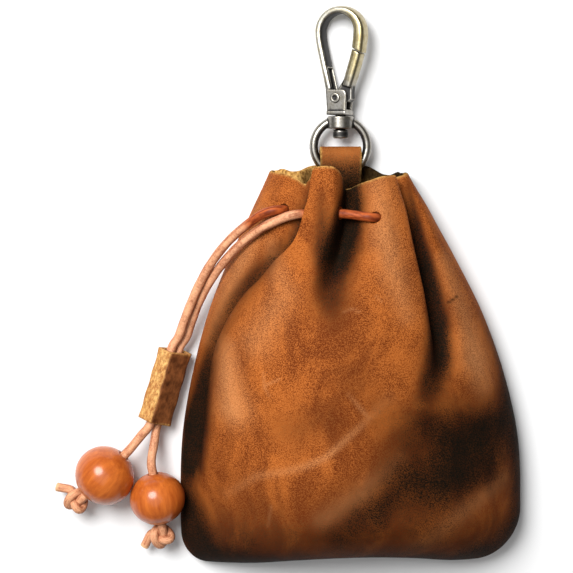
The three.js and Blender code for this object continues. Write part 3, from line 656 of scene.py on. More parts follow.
# %% Where the lace, the slider and the beads lie
CORD_INSET = 4.3
CORD_BACK_Z = 3.4
CORD_TURN_Z = 8
NECK_START = [(-19.3, 23.5, 20.1), (-18.7, 23.2, 17.8), (-19.6, 22.9, 15.4), (-22.2, 22.2, 13.6)]
LOOP_FROM = 14
LOOP_TO = -194
LOOP_POINTS = 21
NECK_END = [
    (16.4, 21.5, 12.1), (13, 21.5, 11.4), (9.8, 21.5, 12), (7.9, 21.5, 14.4), (7.2, 21.5, 17.6),
    (7.2, 21.5, 21), (7.3, 21.5, 24), (6.6, 21.6, 26.3), (4.6, 21.8, 27.7), (2.1, 22.1, 26.8),
    (-1, 22.5, 25.8), (-4.8, 22.8, 25.3), (-9.4, 22.8, 25),
]
LEFT_END_UPPER = [
    (-20.6, 23.8, 23.4), (-23, 23.6, 24.9), (-26.1, 22.6, 23.9), (-30.6, 19.5, 21.1), (-35, 15.7, 18.3),
    (-39.1, 11.1, 15.5), (-42.6, 6, 13), (-45.6, 0.5, 10.9), (-48, -4.9, 9.2), (-50.1, -10.2, 8),
    (-52, -15.3, 7),
]
RIGHT_END_UPPER = [
    (-12.6, 22.6, 25.2), (-15.6, 22.6, 25.6), (-18.6, 22.1, 26), (-22.3, 20.6, 24.8), (-26.2, 18.6, 22.9),
    (-30.3, 15.6, 20.2), (-34.3, 12, 17.1), (-37.9, 7.9, 14), (-41.1, 3.6, 11.3), (-43.8, -0.9, 9),
    (-46.1, -5.6, 7.1), (-47.9, -10.4, 5.7), (-49.6, -15.3, 4.6),
]
LEFT_END_LOWER = [(-63.3, -45.1, 7.9)]
RIGHT_END_LOWER = [(-59.5, -47.5, 6.3)]
SLIDER = {"wide": 8.9, "deep": 6.4, "long": 22.6, "wall": 1.15, "turn": 45, "lean": 16.5}
SLIDER_CORDS = 3.06
SLIDER_LEAD = 1.4
SLIDER_MIDDLE = np.array((-56.25, -30.4, 5.55))
BEAD_STATIONS = (-11, -7, 0, 9)
BEADS = {
    "left": {
        "diameter": 18.2, "middle": (-74.3, -57.1, 9.2),
        "heading": (-0.69, -0.72, 0), "tail": (-0.95, 0.2, -0.25),
    },
    "right": {
        "diameter": 16.8, "middle": (-58.5, -64.3, 8.5),
        "heading": (0.16, -0.99, 0), "tail": (-0.5, -0.85, -0.2),
    },
}
print("free ends through", len(LEFT_END_UPPER), "and", len(RIGHT_END_UPPER), "points above the slider")

# %% [markdown]
# In the slider both ends run side by side, along its own three directions; in a bead they follow the
# bore.

# %% Routes of the lace
def unit(v):
    v = np.asarray(v, dtype=float)
    return v / np.linalg.norm(v)


def neck_loop(turn):
    middle, half = section(STRING_Y)
    top = read(SECTIONS, "crown", STRING_Y) - CORD_INSET - CORD_TURN_Z
    up = math.sin(turn)
    z = CORD_TURN_Z + up * (top if up > 0 else CORD_TURN_Z - CORD_BACK_Z)
    return (middle - (half - CORD_INSET) * math.cos(turn), STRING_Y, z)


lean, turn = math.radians(SLIDER["lean"]), math.radians(SLIDER["turn"])
SLIDER_ALONG = np.array((math.sin(lean), math.cos(lean), 0))
SLIDER_ACROSS = np.array((math.cos(lean), -math.sin(lean), 0)) * math.cos(turn) - (0, 0, math.sin(turn))
SLIDER_UP = np.cross(SLIDER_ACROSS, SLIDER_ALONG)


def free_end(start, upper, lower, side, bead):
    straight = SLIDER["long"] / 2 + SLIDER_LEAD
    shift = SLIDER_ACROSS * side * SLIDER_CORDS / 2
    in_slider = [SLIDER_MIDDLE + SLIDER_ALONG * along + shift for along in (straight, 0, -straight)]
    in_bead = [np.array(bead["middle"]) + unit(bead["heading"]) * d for d in BEAD_STATIONS]
    return np.array([start, *upper, *in_slider, *lower, *in_bead], dtype=float)


loop_turns = np.radians(np.linspace(LOOP_FROM, LOOP_TO, LOOP_POINTS + 1))
NECK_ROUTE = np.array(NECK_START + [neck_loop(t) for t in loop_turns] + NECK_END)
LEFT_ROUTE = free_end(NECK_ROUTE[0], LEFT_END_UPPER, LEFT_END_LOWER, -1, BEADS["left"])
RIGHT_ROUTE = free_end(NECK_ROUTE[-1], RIGHT_END_UPPER, RIGHT_END_LOWER, 1, BEADS["right"])
print("routes of", len(NECK_ROUTE), len(LEFT_ROUTE), len(RIGHT_ROUTE), "points")

# %% [markdown]
# An overhand knot is a trefoil that was cut open. The curve x = t^3 - 3t, y = t^4 - 4t^2 draws one, and
# the height of the strand alternates at its three crossings. It starts where the free end leaves the
# bead, and is drawn tighter and nearer to the bead than in the solids, where the strands may not touch.

# %% Lace pieces
KNOT = {"lobe": 1.16, "lift": -1.5, "drawn_up": 1.0, "from": -2.03, "to": 1.98, "points": 29, "tail": 5}
KNOT_RISE = table(("t", "rise"), (0, 0), (0.5, 1), (1.1, 0), (1.72, -1), (1.94, 1), (2.1, 0.8))
RAW_TAIL = 0.9
OILED = {"neck": 500.0, "left": 19.0, "right": 9.0}


def knot_route(route, bead):
    along = unit(bead["heading"])
    side = np.array((-along[1], along[0], 0))
    t = np.linspace(KNOT["from"], KNOT["to"], KNOT["points"] + 1)
    flat = np.stack((t**3 - 3 * t, t**4 - 4 * t**2), axis=1) * KNOT["lobe"]
    height = KNOT["lift"] * np.sign(t) * read(KNOT_RISE, "rise", np.abs(t), "t")
    near = KNOT["from"] + 0.01
    lead = unit(np.array((near**3 - 3 * near, near**4 - 4 * near**2)) * KNOT["lobe"] - flat[0])
    off = flat - flat[0]
    ahead = off @ lead
    aside = off[:, 0] * lead[1] - off[:, 1] * lead[0]
    points = route[-1] + (ahead[:, None] - KNOT["drawn_up"]) * along + aside[:, None] * side
    points[:, 2] += height - height[0]
    return np.vstack((points, points[-1] + unit(bead["tail"]) * KNOT["tail"]))


def lace_piece(name, route, node, raw_tail=0.0, oiled=0.0):
    return settle(lace_along(name, route, raw_tail, oiled), LACE_FINISH, "pouch", node)


lace_piece("neck_lace", NECK_ROUTE, "drawstring", oiled=OILED["neck"])
ends = {}
for side, route in (("left", LEFT_ROUTE), ("right", RIGHT_ROUTE)):
    knot = knot_route(route, BEADS[side])
    ends[side] = {
        "path": smooth_route(route, LACE_STEP) * MM,
        "lace": lace_piece(f"lace_end_{side}", route, f"cord_end_{side}", oiled=OILED[side]),
        "knot": lace_piece(f"overhand_knot_{side}", knot, f"knot_{side}", raw_tail=RAW_TAIL),
    }

# %% [markdown]
# ## Beads
#
# A bead is a turned shape: half a profile spun round the bore. The profile is an arc that is a little
# flattened along the bore, with a small round at the rim of the hole and the bore itself inside.

# %% Turned beads
HOLE_PLAY = 0.35
BEAD_FLATTENED = 0.95


def spun(profile, segments):
    """Points and faces of a closed profile of (radius, height) spun round Y."""
    profile = np.asarray(profile, dtype=float)
    angle = np.linspace(0, 2 * math.pi, segments, endpoint=False)
    radius, height = profile[:, 0][None], profile[:, 1][None]
    x, z = radius * np.cos(angle)[:, None], radius * np.sin(angle)[:, None]
    points = np.stack((x, np.broadcast_to(height, x.shape), z), axis=2).reshape(-1, 3)
    return points, ring_faces(segments, len(profile))


def turned_to(points, heading, middle):
    """Points of a shape along Y, turned to a heading and moved to its middle."""
    y = unit(heading)
    x = unit(np.cross(y, (0, 0, 1)))
    return points @ np.array((x, y, np.cross(x, y))) + np.array(middle)


def wooden_bead(side, bead):
    radius = bead["diameter"] / 2
    bore = CORD / 2 + HOLE_PLAY
    rim = math.acos((bore + 0.45) / radius)
    a = np.linspace(-rim, rim, 48)
    outside = np.stack((radius * np.cos(a), radius * BEAD_FLATTENED * np.sin(a)), axis=1)
    lip = outside[-1, 1]
    inside = np.stack((np.full(9, bore), np.linspace(lip - 0.5, 0.5 - lip, 9)), axis=1)
    shoulder = np.array((bore + 0.12, lip - 0.12))
    profile = np.vstack((outside, shoulder, inside, shoulder * (1, -1)))
    points, faces = spun(profile, 72)
    name = f"wooden_bead_{side}"
    mesh = mesh_from(name, turned_to(points, bead["heading"], bead["middle"]), faces, {"grain": points})
    return settle(object_from(name, mesh), BEAD_FINISH, "pouch", f"bead_{side}")


for side, bead in BEADS.items():
    ends[side]["bead"] = wooden_bead(side, bead)

# %% [markdown]
# ## Slider
#
# The slider is a scrap of thick hide rolled round both laces and glued: an angular tube. One facet shows
# the raw, fibrous flesh side and the next one the smooth, dark grain side. It is made as rings of a
# rounded rectangle, and the facet each point lies on is painted into the mesh.

# %% Leather slider
SLIDER_CORNER = 1.1
SLIDER_RINGS = 56


def rounded_rectangle(wide, deep, corner, per_corner=7, per_side=10):
    points = []
    for k, (sx, sz) in enumerate(((1, 1), (-1, 1), (-1, -1), (1, -1))):
        centre = np.array((sx * (wide / 2 - corner), sz * (deep / 2 - corner)))
        a = np.radians(np.linspace(90 * k, 90 * k + 90, per_corner))
        arc = centre + corner * np.stack((np.cos(a), np.sin(a)), axis=1)
        points.append(arc)
        following = ((-1, 1), (-1, -1), (1, -1), (1, 1))[k]
        nxt = np.array((following[0] * (wide / 2 - corner), following[1] * (deep / 2 - corner)))
        start = nxt + corner * np.array((math.cos(a[-1]), math.sin(a[-1])))
        share = np.linspace(0, 1, per_side + 2)[1:-1, None]
        points.append(arc[-1] * (1 - share) + start * share)
    return np.vstack(points)


def leather_slider():
    outer = rounded_rectangle(SLIDER["wide"], SLIDER["deep"], SLIDER_CORNER)
    inner = rounded_rectangle(SLIDER["wide"] - 2 * SLIDER["wall"], SLIDER["deep"] - 2 * SLIDER["wall"], 0.4)
    reach = np.linspace(-0.5, 0.5, SLIDER_RINGS) * SLIDER["long"]
    rng = np.random.default_rng(5)
    bumps = rng.normal(0, 1, (4, 3))
    rings = []
    for loop in (outer, inner[::-1]):
        for y in reach if loop is outer else reach[::-1]:
            swell = 1 + 0.012 * sum(math.sin(y * (0.3 + 0.2 * k) + b[0] * 3) for k, b in enumerate(bumps))
            slant = 0.06 * loop[:, 0] * (1 if y > 0 else -1) * fade((abs(y) - 8) / 3.3)
            rings.append(np.stack((loop[:, 0] * swell, y + slant, loop[:, 1] * swell), axis=1))
    local = np.array(rings[:SLIDER_RINGS] + [ring[::-1] for ring in rings[SLIDER_RINGS:]])
    faces = ring_faces(*local.shape[:2])
    local = local.reshape(-1, 3)
    points = SLIDER_MIDDLE + local @ np.array((SLIDER_ACROSS, SLIDER_ALONG, SLIDER_UP))
    flesh = np.clip((-local[:, 0] / (SLIDER["wide"] / 2) - 0.86) / 0.08, 0, 1)
    cut = np.clip((np.abs(local[:, 1]) - SLIDER["long"] / 2 + 0.5) / 0.3, 0, 1)
    return mesh_from("leather_slider", points, faces, {"grain": local, "raw": np.maximum(flesh, cut)})


slider = object_from("leather_slider", leather_slider())
settle(slider, SLIDER_FINISH, "pouch", "slider")

# %% [markdown]
# For each free end, the pieces on it are listed: its bead and its knot, and on the left end also the
# slider.

for side, end in ends.items():
    on_it = [end["bead"], end["knot"]] + ([slider] if side == "left" else [])

# %% [markdown]
# ## Leather walls
#
# The front is one smooth skin that the drawstring gathers into folds. It could be simulated as cloth, but
# thick leather keeps the folds it has been worn into, and the photograph shows just where they lie. So
# the skin is drawn by rule: a crowned section at every height, pushed in along the bottom of each fold
# and tucked sideways where a ridge overhangs.

# %% Folds and dents
FRONT_FOLDS = [
    {
        "name": "left fold, from the mouth down along the left seam", "under": 48, "open": 1, "drop": 3,
        "rows": (
            (-64, -46.5, 0, 3.2), (-48, -47, 3.2, 3.2), (-33, -45.4, 3.4, 3.2), (-18, -43, 3.2, 3.2),
            (-4, -36.4, 3.6, 3.2), (8, -27.4, 5, 3), (15, -21.2, 6.6, 2.6), (24, -18.2, 7.4, 2.3),
            (36, -15.4, 6.6, 2.2),
        ),
    },
    {
        "name": "middle fold, right of the central ridge", "under": 0, "open": 2, "drop": 6.2,
        "rows": (
            (-12, -5, 0, 6), (-4, -5, 1.5, 5), (5, -4.4, 4.2, 4), (14, -2.6, 7.8, 3.2),
            (21.5, -1.4, 9.4, 2.9), (36, -0.6, 9, 2.8),
        ),
    },
    {
        "name": "right fold, the longest, below the right ridge", "under": -4, "open": 1, "drop": 2.4,
        "rows": (
            (-30, 29, 0, 4.4), (-20, 29.2, 3.2, 4), (-13, 28.8, 5.6, 3.8), (-1, 26, 7.4, 3.4),
            (14, 21.4, 8.6, 2.9), (26, 18, 9, 2.5), (36, 15, 8.6, 2.3),
        ),
    },
    {
        "name": "short fold below the exits of the cord", "under": 10, "open": 1, "drop": 0,
        "rows": ((0, -30, 0, 2.6), (9, -27, 2, 2.6), (15, -25.4, 1.6, 2.4), (20, -24.6, 0, 2.4)),
    },
]
BACK_FOLDS = [
    {
        "name": f"back fold at {x}", "under": 0, "open": 1, "drop": 1.5,
        "rows": (
            (-22, x - 7 * sign, 0, 4.5), (-2, x - 4 * sign, 2.6, 4), (12, x - 1.5 * sign, 6.4, 3.3),
            (21.5, x, 8.2, 2.9), (36, x, 7, 2.8),
        ),
    }
    for x, sign in ((-16.8, 1), (9.9, -1))
]
for fold in FRONT_FOLDS + BACK_FOLDS:
    fold["rows"] = table(("y", "x", "depth", "width"), *fold["rows"])
DENTS = [
    {"name": "hollow in the lower right", "x": 27, "y": -44, "depth": 2.4, "across": 15, "along": 12},
    {"name": "hollow above the left corner", "x": -28, "y": -66, "depth": 1.6, "across": 13, "along": 9},
    {"name": "hollow below the middle", "x": 6, "y": -62, "depth": 1.4, "across": 16, "along": 8},
]
print(len(FRONT_FOLDS), "folds in the front,", len(BACK_FOLDS), "in the back")

# %% [markdown]
# Without its folds, the front is a crowned section at every height and the back a flattened one. The
# angle called turn runs from 0 at the left seam to half a circle at the right one.

# %% Smooth faces
def seam(turn, y):
    to_right = (1 - np.cos(turn)) / 2
    return read(SECTIONS, "seam_left", y) * (1 - to_right) + read(SECTIONS, "seam_right", y) * to_right


def smooth_front(turn, y):
    middle, half = section(y)
    rise = (read(SECTIONS, "crown", y) - seam(turn, y) - LEATHER) * rounded((y - FOOT_Y) / FOOT_RADIUS)
    up = np.maximum(0, np.sin(turn))
    lean = np.where(turn < math.pi / 2, read(SECTIONS, "lean_left", y), read(SECTIONS, "lean_right", y))
    x = middle - half * np.cos(turn) + read(SECTIONS, "crest", y) * up * up
    from_seam = half * (1 - np.abs(np.cos(turn)))
    edge = LEATHER * rounded(from_seam / LEATHER) * rounded((y - FOOT_Y) / LEATHER)
    return np.stack((x, y + 0 * x, seam(turn, y) + edge + rise * up**lean), axis=-1)


def smooth_back(turn, y):
    middle, half = section(y)
    flat = np.where(turn < math.pi / 2, BACK_FLAT["left"], BACK_FLAT["right"])
    down = np.clip(flat * np.sin(turn), 0, 1) * rounded((y - FOOT_Y) / BACK_RADIUS)
    x = middle - half * np.cos(turn)
    return np.stack((x, y + 0 * x, seam(turn, y) * (1 - down)), axis=-1)


crest = smooth_front(np.array([math.pi / 2]), np.array([SECTIONS[2]["y"]]))[0]
print("the belly crowns", round(float(crest[2]), 1), "mm high")

# %% [markdown]
# A fold pushes the skin in along its bottom, and sideways too where its ridge overhangs. How deep in a
# fold each point lies is kept, because the deep part of a fold is painted darker as painted shade. Then the
# rim dips and the foot waves as the plan says.

# %% Folded faces
def folded(face, folds, facing, turn, y):
    """The face pushed in along its folds, and how deep in a fold each point lies."""
    step = 1e-3
    at = face(turn, y)
    middle, half = section(y)
    along = face(np.minimum(turn + step, math.pi), y) - face(np.maximum(turn - step, 0), y)
    along /= np.linalg.norm(along, axis=-1)[..., None]
    inward = np.stack((along[..., 2], 0 * turn, -along[..., 0]), axis=-1) * facing
    depth_here = np.zeros_like(turn)
    for fold in folds:
        depth = read(fold["rows"], "depth", y)
        bottom = np.arccos(np.clip((middle - read(fold["rows"], "x", y)) / half, -1, 1))
        reach = np.linalg.norm(face(bottom + step, y) - face(bottom - step, y), axis=-1) / (2 * step)
        wide = read(fold["rows"], "width", y) * np.where(turn > bottom, fold["open"], 1)
        near = np.exp(-(((turn - bottom) * reach / wide) ** 2))
        slant = math.radians(fold["under"])
        at = at + inward * (depth * near * math.cos(slant))[..., None]
        at = at + along * (depth * near * math.sin(slant))[..., None]
        at[..., 1] -= fold["drop"] * near * fade((y - STRING_Y) / (MOUTH_Y - STRING_Y))
        depth_here = np.maximum(depth_here, depth * near)
    return at, depth_here


def rimmed(points, rim, y):
    drop = read(rim, "drop", points[..., 0], "x") * fade((y - STRING_Y) / (MOUTH_Y - STRING_Y))
    return points - np.stack((0 * drop, drop, 0 * drop), axis=-1)


def footed(points):
    rise = read(FOOT, "rise", points[..., 0], "x") * fade(1 - (points[..., 1] - FOOT_Y) / FOOT_REACH)
    return points + np.stack((0 * rise, rise, 0 * rise), axis=-1)


print("deepest fold", max(row["depth"] for fold in FRONT_FOLDS for row in fold["rows"]), "mm")

# %% [markdown]
# Worn leather also shows small things that the solids leave out: fine pleats that fan out below the lace,
# and slow waves and hollows in the belly. They are added to the height of the skin: some tenths of a
# millimetre for pleats and waves, up to 2.4 mm for a hollow.

# %% Fine relief
PLEATS = [(19, 0.3, 0.12), (33, 1.9, 0.06), (57, 4.1, 0.03)]
PLEATS_FROM_Y = -22
PLEATS_FADE = 40
PLEATS_SLANT = 0.05
WAVES = [
    ((0.071, 0.043), 0.4, 0.5), ((-0.052, 0.088), 2.2, 0.4),
    ((0.11, -0.075), 3.7, 0.22), ((0.024, 0.16), 5.1, 0.18),
]
WAVES_EASED = 0.7


def front_relief(turn, y, points):
    fan = fade((y - PLEATS_FROM_Y) / PLEATS_FADE)
    pleats = sum(size * np.sin(count * turn + phase + PLEATS_SLANT * y) for count, phase, size in PLEATS)
    x = points[..., 0]
    waves = sum(size * np.sin(kx * x + ky * y + phase) for (kx, ky), phase, size in WAVES)
    calm = rounded((y - FOOT_Y) / FOOT_RADIUS) * np.sin(turn)
    return calm * (pleats * fan + waves * (1 - WAVES_EASED * fan))


def front_face(turn, y):
    points, depth = folded(smooth_front, FRONT_FOLDS, 1, turn, y)
    for dent in DENTS:
        across = (points[..., 0] - dent["x"]) / dent["across"]
        along = (points[..., 1] - dent["y"]) / dent["along"]
        near = np.exp(-(across**2 + along**2))
        points[..., 2] -= dent["depth"] * near * np.sin(turn) * rounded((y - FOOT_Y) / FOOT_RADIUS)
    points[..., 2] += front_relief(turn, y, points)
    return footed(rimmed(points, FRONT_RIM, y)), depth


def back_face(turn, y):
    points, depth = folded(smooth_back, BACK_FOLDS, -1, turn, y)
    return footed(rimmed(points, BACK_RIM, y)), depth


print("relief:", len(PLEATS), "rows of pleats,", len(WAVES), "slow waves,", len(DENTS), "hollows")

# %% [markdown]
# Wear, sheen and shade are painted on as soft strokes. Each stroke is a few rows of where it runs, how wide
# it is and how strong. Rubbed strokes are the creases, scratches and edges, where wax has cracked or worn
# off and the leather shows pale. Some pale strokes are painted sheen, a painted highlight on ridges and
# shoulders. Where two of them cross, the stronger one counts.

# %% Rubbed strokes and painted sheen
RUBBED_AND_SHEEN = {
    "long crease across the belly": (
        (-37, -60, 1.4, 0.15), (-28, -52.8, 1.3, 0.28), (-14.7, -48.8, 1.2, 0.4), (-8.5, -46, 1.1, 0.5),
        (-2.2, -40.4, 1.1, 0.46), (3.3, -35.4, 1.1, 0.28), (10, -29, 2, 0.1),
    ),
    "short crease that meets it": ((-2, -27.6, 0.5, 0.2), (1.4, -31.6, 0.6, 0.45), (4, -34.7, 0.6, 0.5)),
    "broad band below it": ((-9, -64.4, 3, 0.35), (2, -57, 3.4, 0.5), (12.9, -47, 2.6, 0.2)),
    "crease in the lower right": ((17, -76, 3, 0.2), (32, -64, 3, 0.48), (45, -56, 2.6, 0.4)),
    # painted sheen on the left of the belly
    "sheen on the left": ((-37, -17, 3.4, 0.5), (-36.5, -24, 3.6, 0.65), (-34.8, -34, 4.8, 0.75)),
    # painted highlight along the edge of the right ridge
    "edge of the right ridge": ((7, 31, 4, 0.4), (8.5, 18, 4, 0.6), (11, 6, 4, 0.5), (15, -6, 3, 0.3)),
    "scratch below the middle fold": (
        (-3.1, -4.7, 0.4, 0.35), (-0.9, -4, 0.4, 0.4), (1.3, -4.7, 0.4, 0.35),
    ),
    "nick on the right ridge": ((6, -0.4, 0.4, 0.35), (7.7, -1.8, 0.4, 0.35)),
    "scratch on the left": ((-26, -22.6, 0.4, 0.3), (-25.6, -26.8, 0.45, 0.45), (-24.3, -29, 0.4, 0.25)),
    "branch of that scratch": ((-25.5, -26.1, 0.4, 0.45), (-21.5, -24, 0.4, 0.35)),
    "scratch near the foot": ((-24.7, -67.5, 0.4, 0.3), (-23.8, -61.2, 0.4, 0.3)),
    "nick beside the patch": ((11.5, -48.4, 0.5, 0.5), (10.1, -52.7, 0.5, 0.4)),
    # painted sheen on the left shoulder
    "left shoulder": ((-27, 22, 3, 0.3), (-32, 9, 3, 0.55), (-38, -3, 2.6, 0.5), (-43, -16, 2, 0.3)),
    "left of the central ridge": ((-24, 14, 2.5, 0.3), (-20, 0, 4, 0.35), (-28, -14, 5, 0.35)),
    # painted sheen on the shoulder right of the right fold
    "shoulder right of the right fold": (
        (27, 9, 2.5, 0.35), (33, -8, 3, 0.45), (36, -20, 4.5, 0.75), (39, -28, 3.5, 0.45),
    ),
}
print(len(RUBBED_AND_SHEEN), "rubbed strokes")

# %% [markdown]
# Dark strokes turn the leather nearly black. In the groove along the left seam, in the hollows of the
# folds and on the flanks beside the ridges they are painted shade. At the foot, along the seams and in
# the lower right they are partly burnished by handling, oil and dirt and partly painted shade where the
# pouch turns away from the lamp. Broad strokes make the lower belly darker towards the foot. Where they
# cross they add up. The back shares the strokes along the foot and the seams, and its inside is painted
# shade where the mouth stands open.

# %% Burnished strokes and painted shade
BURNISHED_AND_SHADED = {
    # painted shade in the groove along the left seam
    "groove along the left seam": (
        (-21.5, 14, 2, 0.2), (-23.4, 9.3, 2.6, 0.5), (-29.4, 3.4, 3.6, 0.55), (-33.8, -2.1, 4, 0.5),
        (-39.8, -12.3, 3.6, 0.5), (-42, -19.5, 3.2, 0.65), (-44.6, -30, 3.4, 1.1), (-47, -42, 4.4, 1.4),
        (-48.6, -53, 4.2, 1.3), (-50.5, -60, 3.4, 0.7),
    ),
    # partly burnished wear, partly painted shade where the pouch curves under at the corner and the foot
    "lower left corner": ((-49.5, -66, 4, 1), (-48, -75, 6, 1.3), (-42, -82, 5, 1.2)),
    "foot": (
        (-40, -83, 6.5, 0.95), (-20, -83, 5.5, 0.85), (-3, -82, 5, 0.7), (13, -82, 6, 0.85),
        (30, -83, 5.5, 0.85), (46, -80, 5.5, 0.8), (51, -71, 4.5, 0.7),
    ),
    # partly burnished wear, partly painted shade on the right side, away from the lamp
    "right seam": (
        (51, -71, 4.5, 0.7), (51.5, -55, 4.5, 0.9), (50, -40, 5, 0.95), (46.5, -26, 3.6, 0.8),
        (39, -8, 2, 0.4),
    ),
    # partly a dark patch in the leather, partly painted shade on the right of the belly
    "patch in the lower right": ((23, -39, 10, 0.85), (33, -44, 12, 1.1), (45, -40, 10, 1)),
    "tail of that patch": ((15, -53, 9, 0.75), (26, -54, 10, 0.95), (37, -51, 9, 0.95)),
    "lower right corner": ((8, -66, 11, 0.35), (26, -72, 12, 0.4), (42, -73, 12, 0.4), (36, -79, 9, 0.5)),
    "darker area below the band": ((-4, -69, 5, 0.4), (2, -64.6, 5, 0.65), (9, -60, 3.6, 0.35)),
    "lower belly": (
        (-32, -70, 11, 0.3), (0, -68, 13, 0.38), (14, -58, 11, 0.45), (10, -40, 8, 0.3), (0, -22, 9, 0.2),
    ),
    "darkening towards the foot": (
        (-48, -86, 22, 0.7), (-20, -86, 20, 0.6), (4, -86, 17, 0.34), (48, -84, 20, 0.45),
    ),
    "middle of the belly": ((-18, -38, 6, 0.28), (-8, -36, 7, 0.3)),
    "strip in the shade of the right ridge": (
        (16.4, 32, 1, 0.4), (18, 24, 1.3, 0.6), (20.2, 14, 2, 0.8), (23.6, 0.6, 2.6, 0.9),
        (26, -10, 2.8, 0.9), (25.4, -19, 3.8, 0.9), (24, -26, 3.8, 0.6),
    ),
    "cut on the right": ((28, -3.3, 0.45, 0.7), (30.6, -1.8, 0.45, 0.7)),
    # painted shade at the end of the right fold
    "end of the right fold": (
        (22, -6, 2.4, 0.4), (22.6, -15, 3.2, 0.7), (22.4, -23, 3.8, 0.8), (20, -29, 3.4, 0.45),
    ),
    # painted shade in the hollow of the middle fold
    "hollow of the middle fold": (
        (-2.4, 26, 2.6, 0.8), (-4.6, 18, 4, 1), (-5.8, 12, 5, 1), (-6.6, 5, 5, 0.65),
        (-6.4, -1, 5.4, 0.62), (-5.4, -8, 5, 0.3),
    ),
    # painted shade on the ridge's flank turned away from the lamp
    "right flank of the central ridge": (
        (-9.4, 28, 2, 0.35), (-9.6, 19, 2.6, 0.6), (-9, 12, 3.2, 0.6), (-8, 4, 4, 0.4),
    ),
}
SEAM_STROKES = ("lower left corner", "foot", "right seam")
BACK_BURNISHED_AND_SHADED = {name: BURNISHED_AND_SHADED[name] for name in SEAM_STROKES}
# painted shade inside the open mouth
BACK_BURNISHED_AND_SHADED["right half of the mouth, inside"] = ((3, 36, 6, 1.3), (14, 35, 6, 1.3), (14, 26, 8, 1.2))
print(len(BURNISHED_AND_SHADED), "burnished strokes on the front,", len(BACK_BURNISHED_AND_SHADED), "on the back")

# %% [markdown]
# A stroke covers the points near the line through its rows, and fades out smoothly beside it.

# %% A soft stroke
def stroke(x, y, rows):
    """How strongly a soft stroke through rows of (x, y, width, strength) covers each point."""
    cover = np.zeros_like(x)
    for (x0, y0, wide0, strong0), (x1, y1, wide1, strong1) in zip(rows, rows[1:]):
        dx, dy = x1 - x0, y1 - y0
        share = np.clip(((x - x0) * dx + (y - y0) * dy) / (dx * dx + dy * dy), 0, 1)
        away = np.hypot(x - x0 - share * dx, y - y0 - share * dy)
        wide = wide0 + (wide1 - wide0) * share
        strong = strong0 + (strong1 - strong0) * share
        cover = np.maximum(cover, strong * np.exp(-((away / wide) ** 2)))
    return cover


foot_middle = stroke(np.zeros(1), np.full(1, FOOT_Y), BURNISHED_AND_SHADED["foot"])[0]
print("the foot stroke covers the foot's middle by", round(float(foot_middle), 2))

# %% [markdown]
# A wall is the skin, a second skin one thickness inside, and the edges between them. The cut edge round
# the mouth gets a few extra rows so that it is rounded.

# %% A wall with thickness
RIM_ROWS = 4
RIM_ROUND = 0.35


def grid_normals(points, facing):
    normal = np.cross(np.gradient(points, axis=1), np.gradient(points, axis=0)) * facing
    return normal / np.maximum(np.linalg.norm(normal, axis=-1), 1e-9)[..., None]


def wall_faces(rows, columns, facing):
    """Faces of a closed wall: both skins with rim and foot, then the side seams and the ends of the rim."""
    count = 2 * rows + RIM_ROWS
    faces = []
    for j in range(count):
        n = (j + 1) % count
        for i in range(columns - 1):
            quad = (j * columns + i, j * columns + i + 1, n * columns + i + 1, n * columns + i)
            faces.append(quad if facing > 0 else quad[::-1])
    sides = ((0, False), (columns - 1, True))
    for j in range(rows - 1):
        for i, flip in sides:
            quad = tuple(k * columns + i for k in (j, j + 1, count - 2 - j, count - 1 - j))
            faces.append(quad if flip == (facing > 0) else quad[::-1])
    for i, flip in sides:
        lip = tuple(k * columns + i for k in range(rows - 1, rows + RIM_ROWS + 1))
        faces.append(lip if flip == (facing > 0) else lip[::-1])
    return faces


def wall(face, rows, columns, facing):
    """Points and faces of a wall, and for each point how raw it is and how deep in a fold it lies."""
    foot = FOOT_Y + FOOT_RADIUS * (1 - np.cos(np.linspace(0, math.pi / 2, rows // 4, endpoint=False)))
    levels = np.concatenate((foot, np.linspace(FOOT_Y + FOOT_RADIUS, MOUTH_Y, rows - len(foot))))
    turn, y = np.meshgrid(np.linspace(0, math.pi, columns), levels)
    outer, depth = face(turn, y)
    normal = grid_normals(outer, facing)
    normal[0] = (0, -1, 0)
    normal[:, 0] = (-1, 0, 0)
    normal[:, -1] = (1, 0, 0)
    normal[0, 0] = (-0.7, -0.7, 0)
    normal[0, -1] = (0.7, -0.7, 0)
    inner = outer - normal * LEATHER
    rim = []
    for share in np.arange(1, RIM_ROWS + 1) / (RIM_ROWS + 1):
        row = outer[-1] * (1 - share) + inner[-1] * share
        row[:, 1] += RIM_ROUND * math.sin(math.pi * share)
        rim.append(row)
    sheet = np.concatenate((outer, np.array(rim), inner[::-1]))
    raw = np.zeros(sheet.shape[:2])
    raw[rows:] = 1
    raw[rows - 1] = 0.5
    fold = np.zeros(sheet.shape[:2])
    fold[:rows] = depth
    return sheet, wall_faces(rows, columns, facing), raw, fold


print("walls", LEATHER, "mm thick, with", RIM_ROWS, "extra rows round the mouth")

# %% [markdown]
# Holes for the lace are cut with a Boolean: the same routes, a little thicker, serve as drills. Then the
# wear, the painted sheen and the painted shade go on, and each wall goes to its place.

# %% Walls of the pouch
EXIT_POINTS = 8
DARKEST_FOLD = 6.2
FOLD_CONTRAST = 1.6
WALLS = {
    "front_wall": {
        "face": front_face, "rows": 190, "columns": 230, "facing": 1, "node": "front_panel",
        "burnished_and_shaded": BURNISHED_AND_SHADED, "rubbed_and_sheen": RUBBED_AND_SHEEN,
    },
    "back_wall": {
        "face": back_face, "rows": 120, "columns": 120, "facing": -1, "node": "back_panel",
        "burnished_and_shaded": BACK_BURNISHED_AND_SHADED, "rubbed_and_sheen": {},
    },
}


def subtract(made, tool, solver):
    cut = made.modifiers.new("cut", "BOOLEAN")
    cut.operation = "DIFFERENCE"
    cut.solver = solver
    cut.object = tool


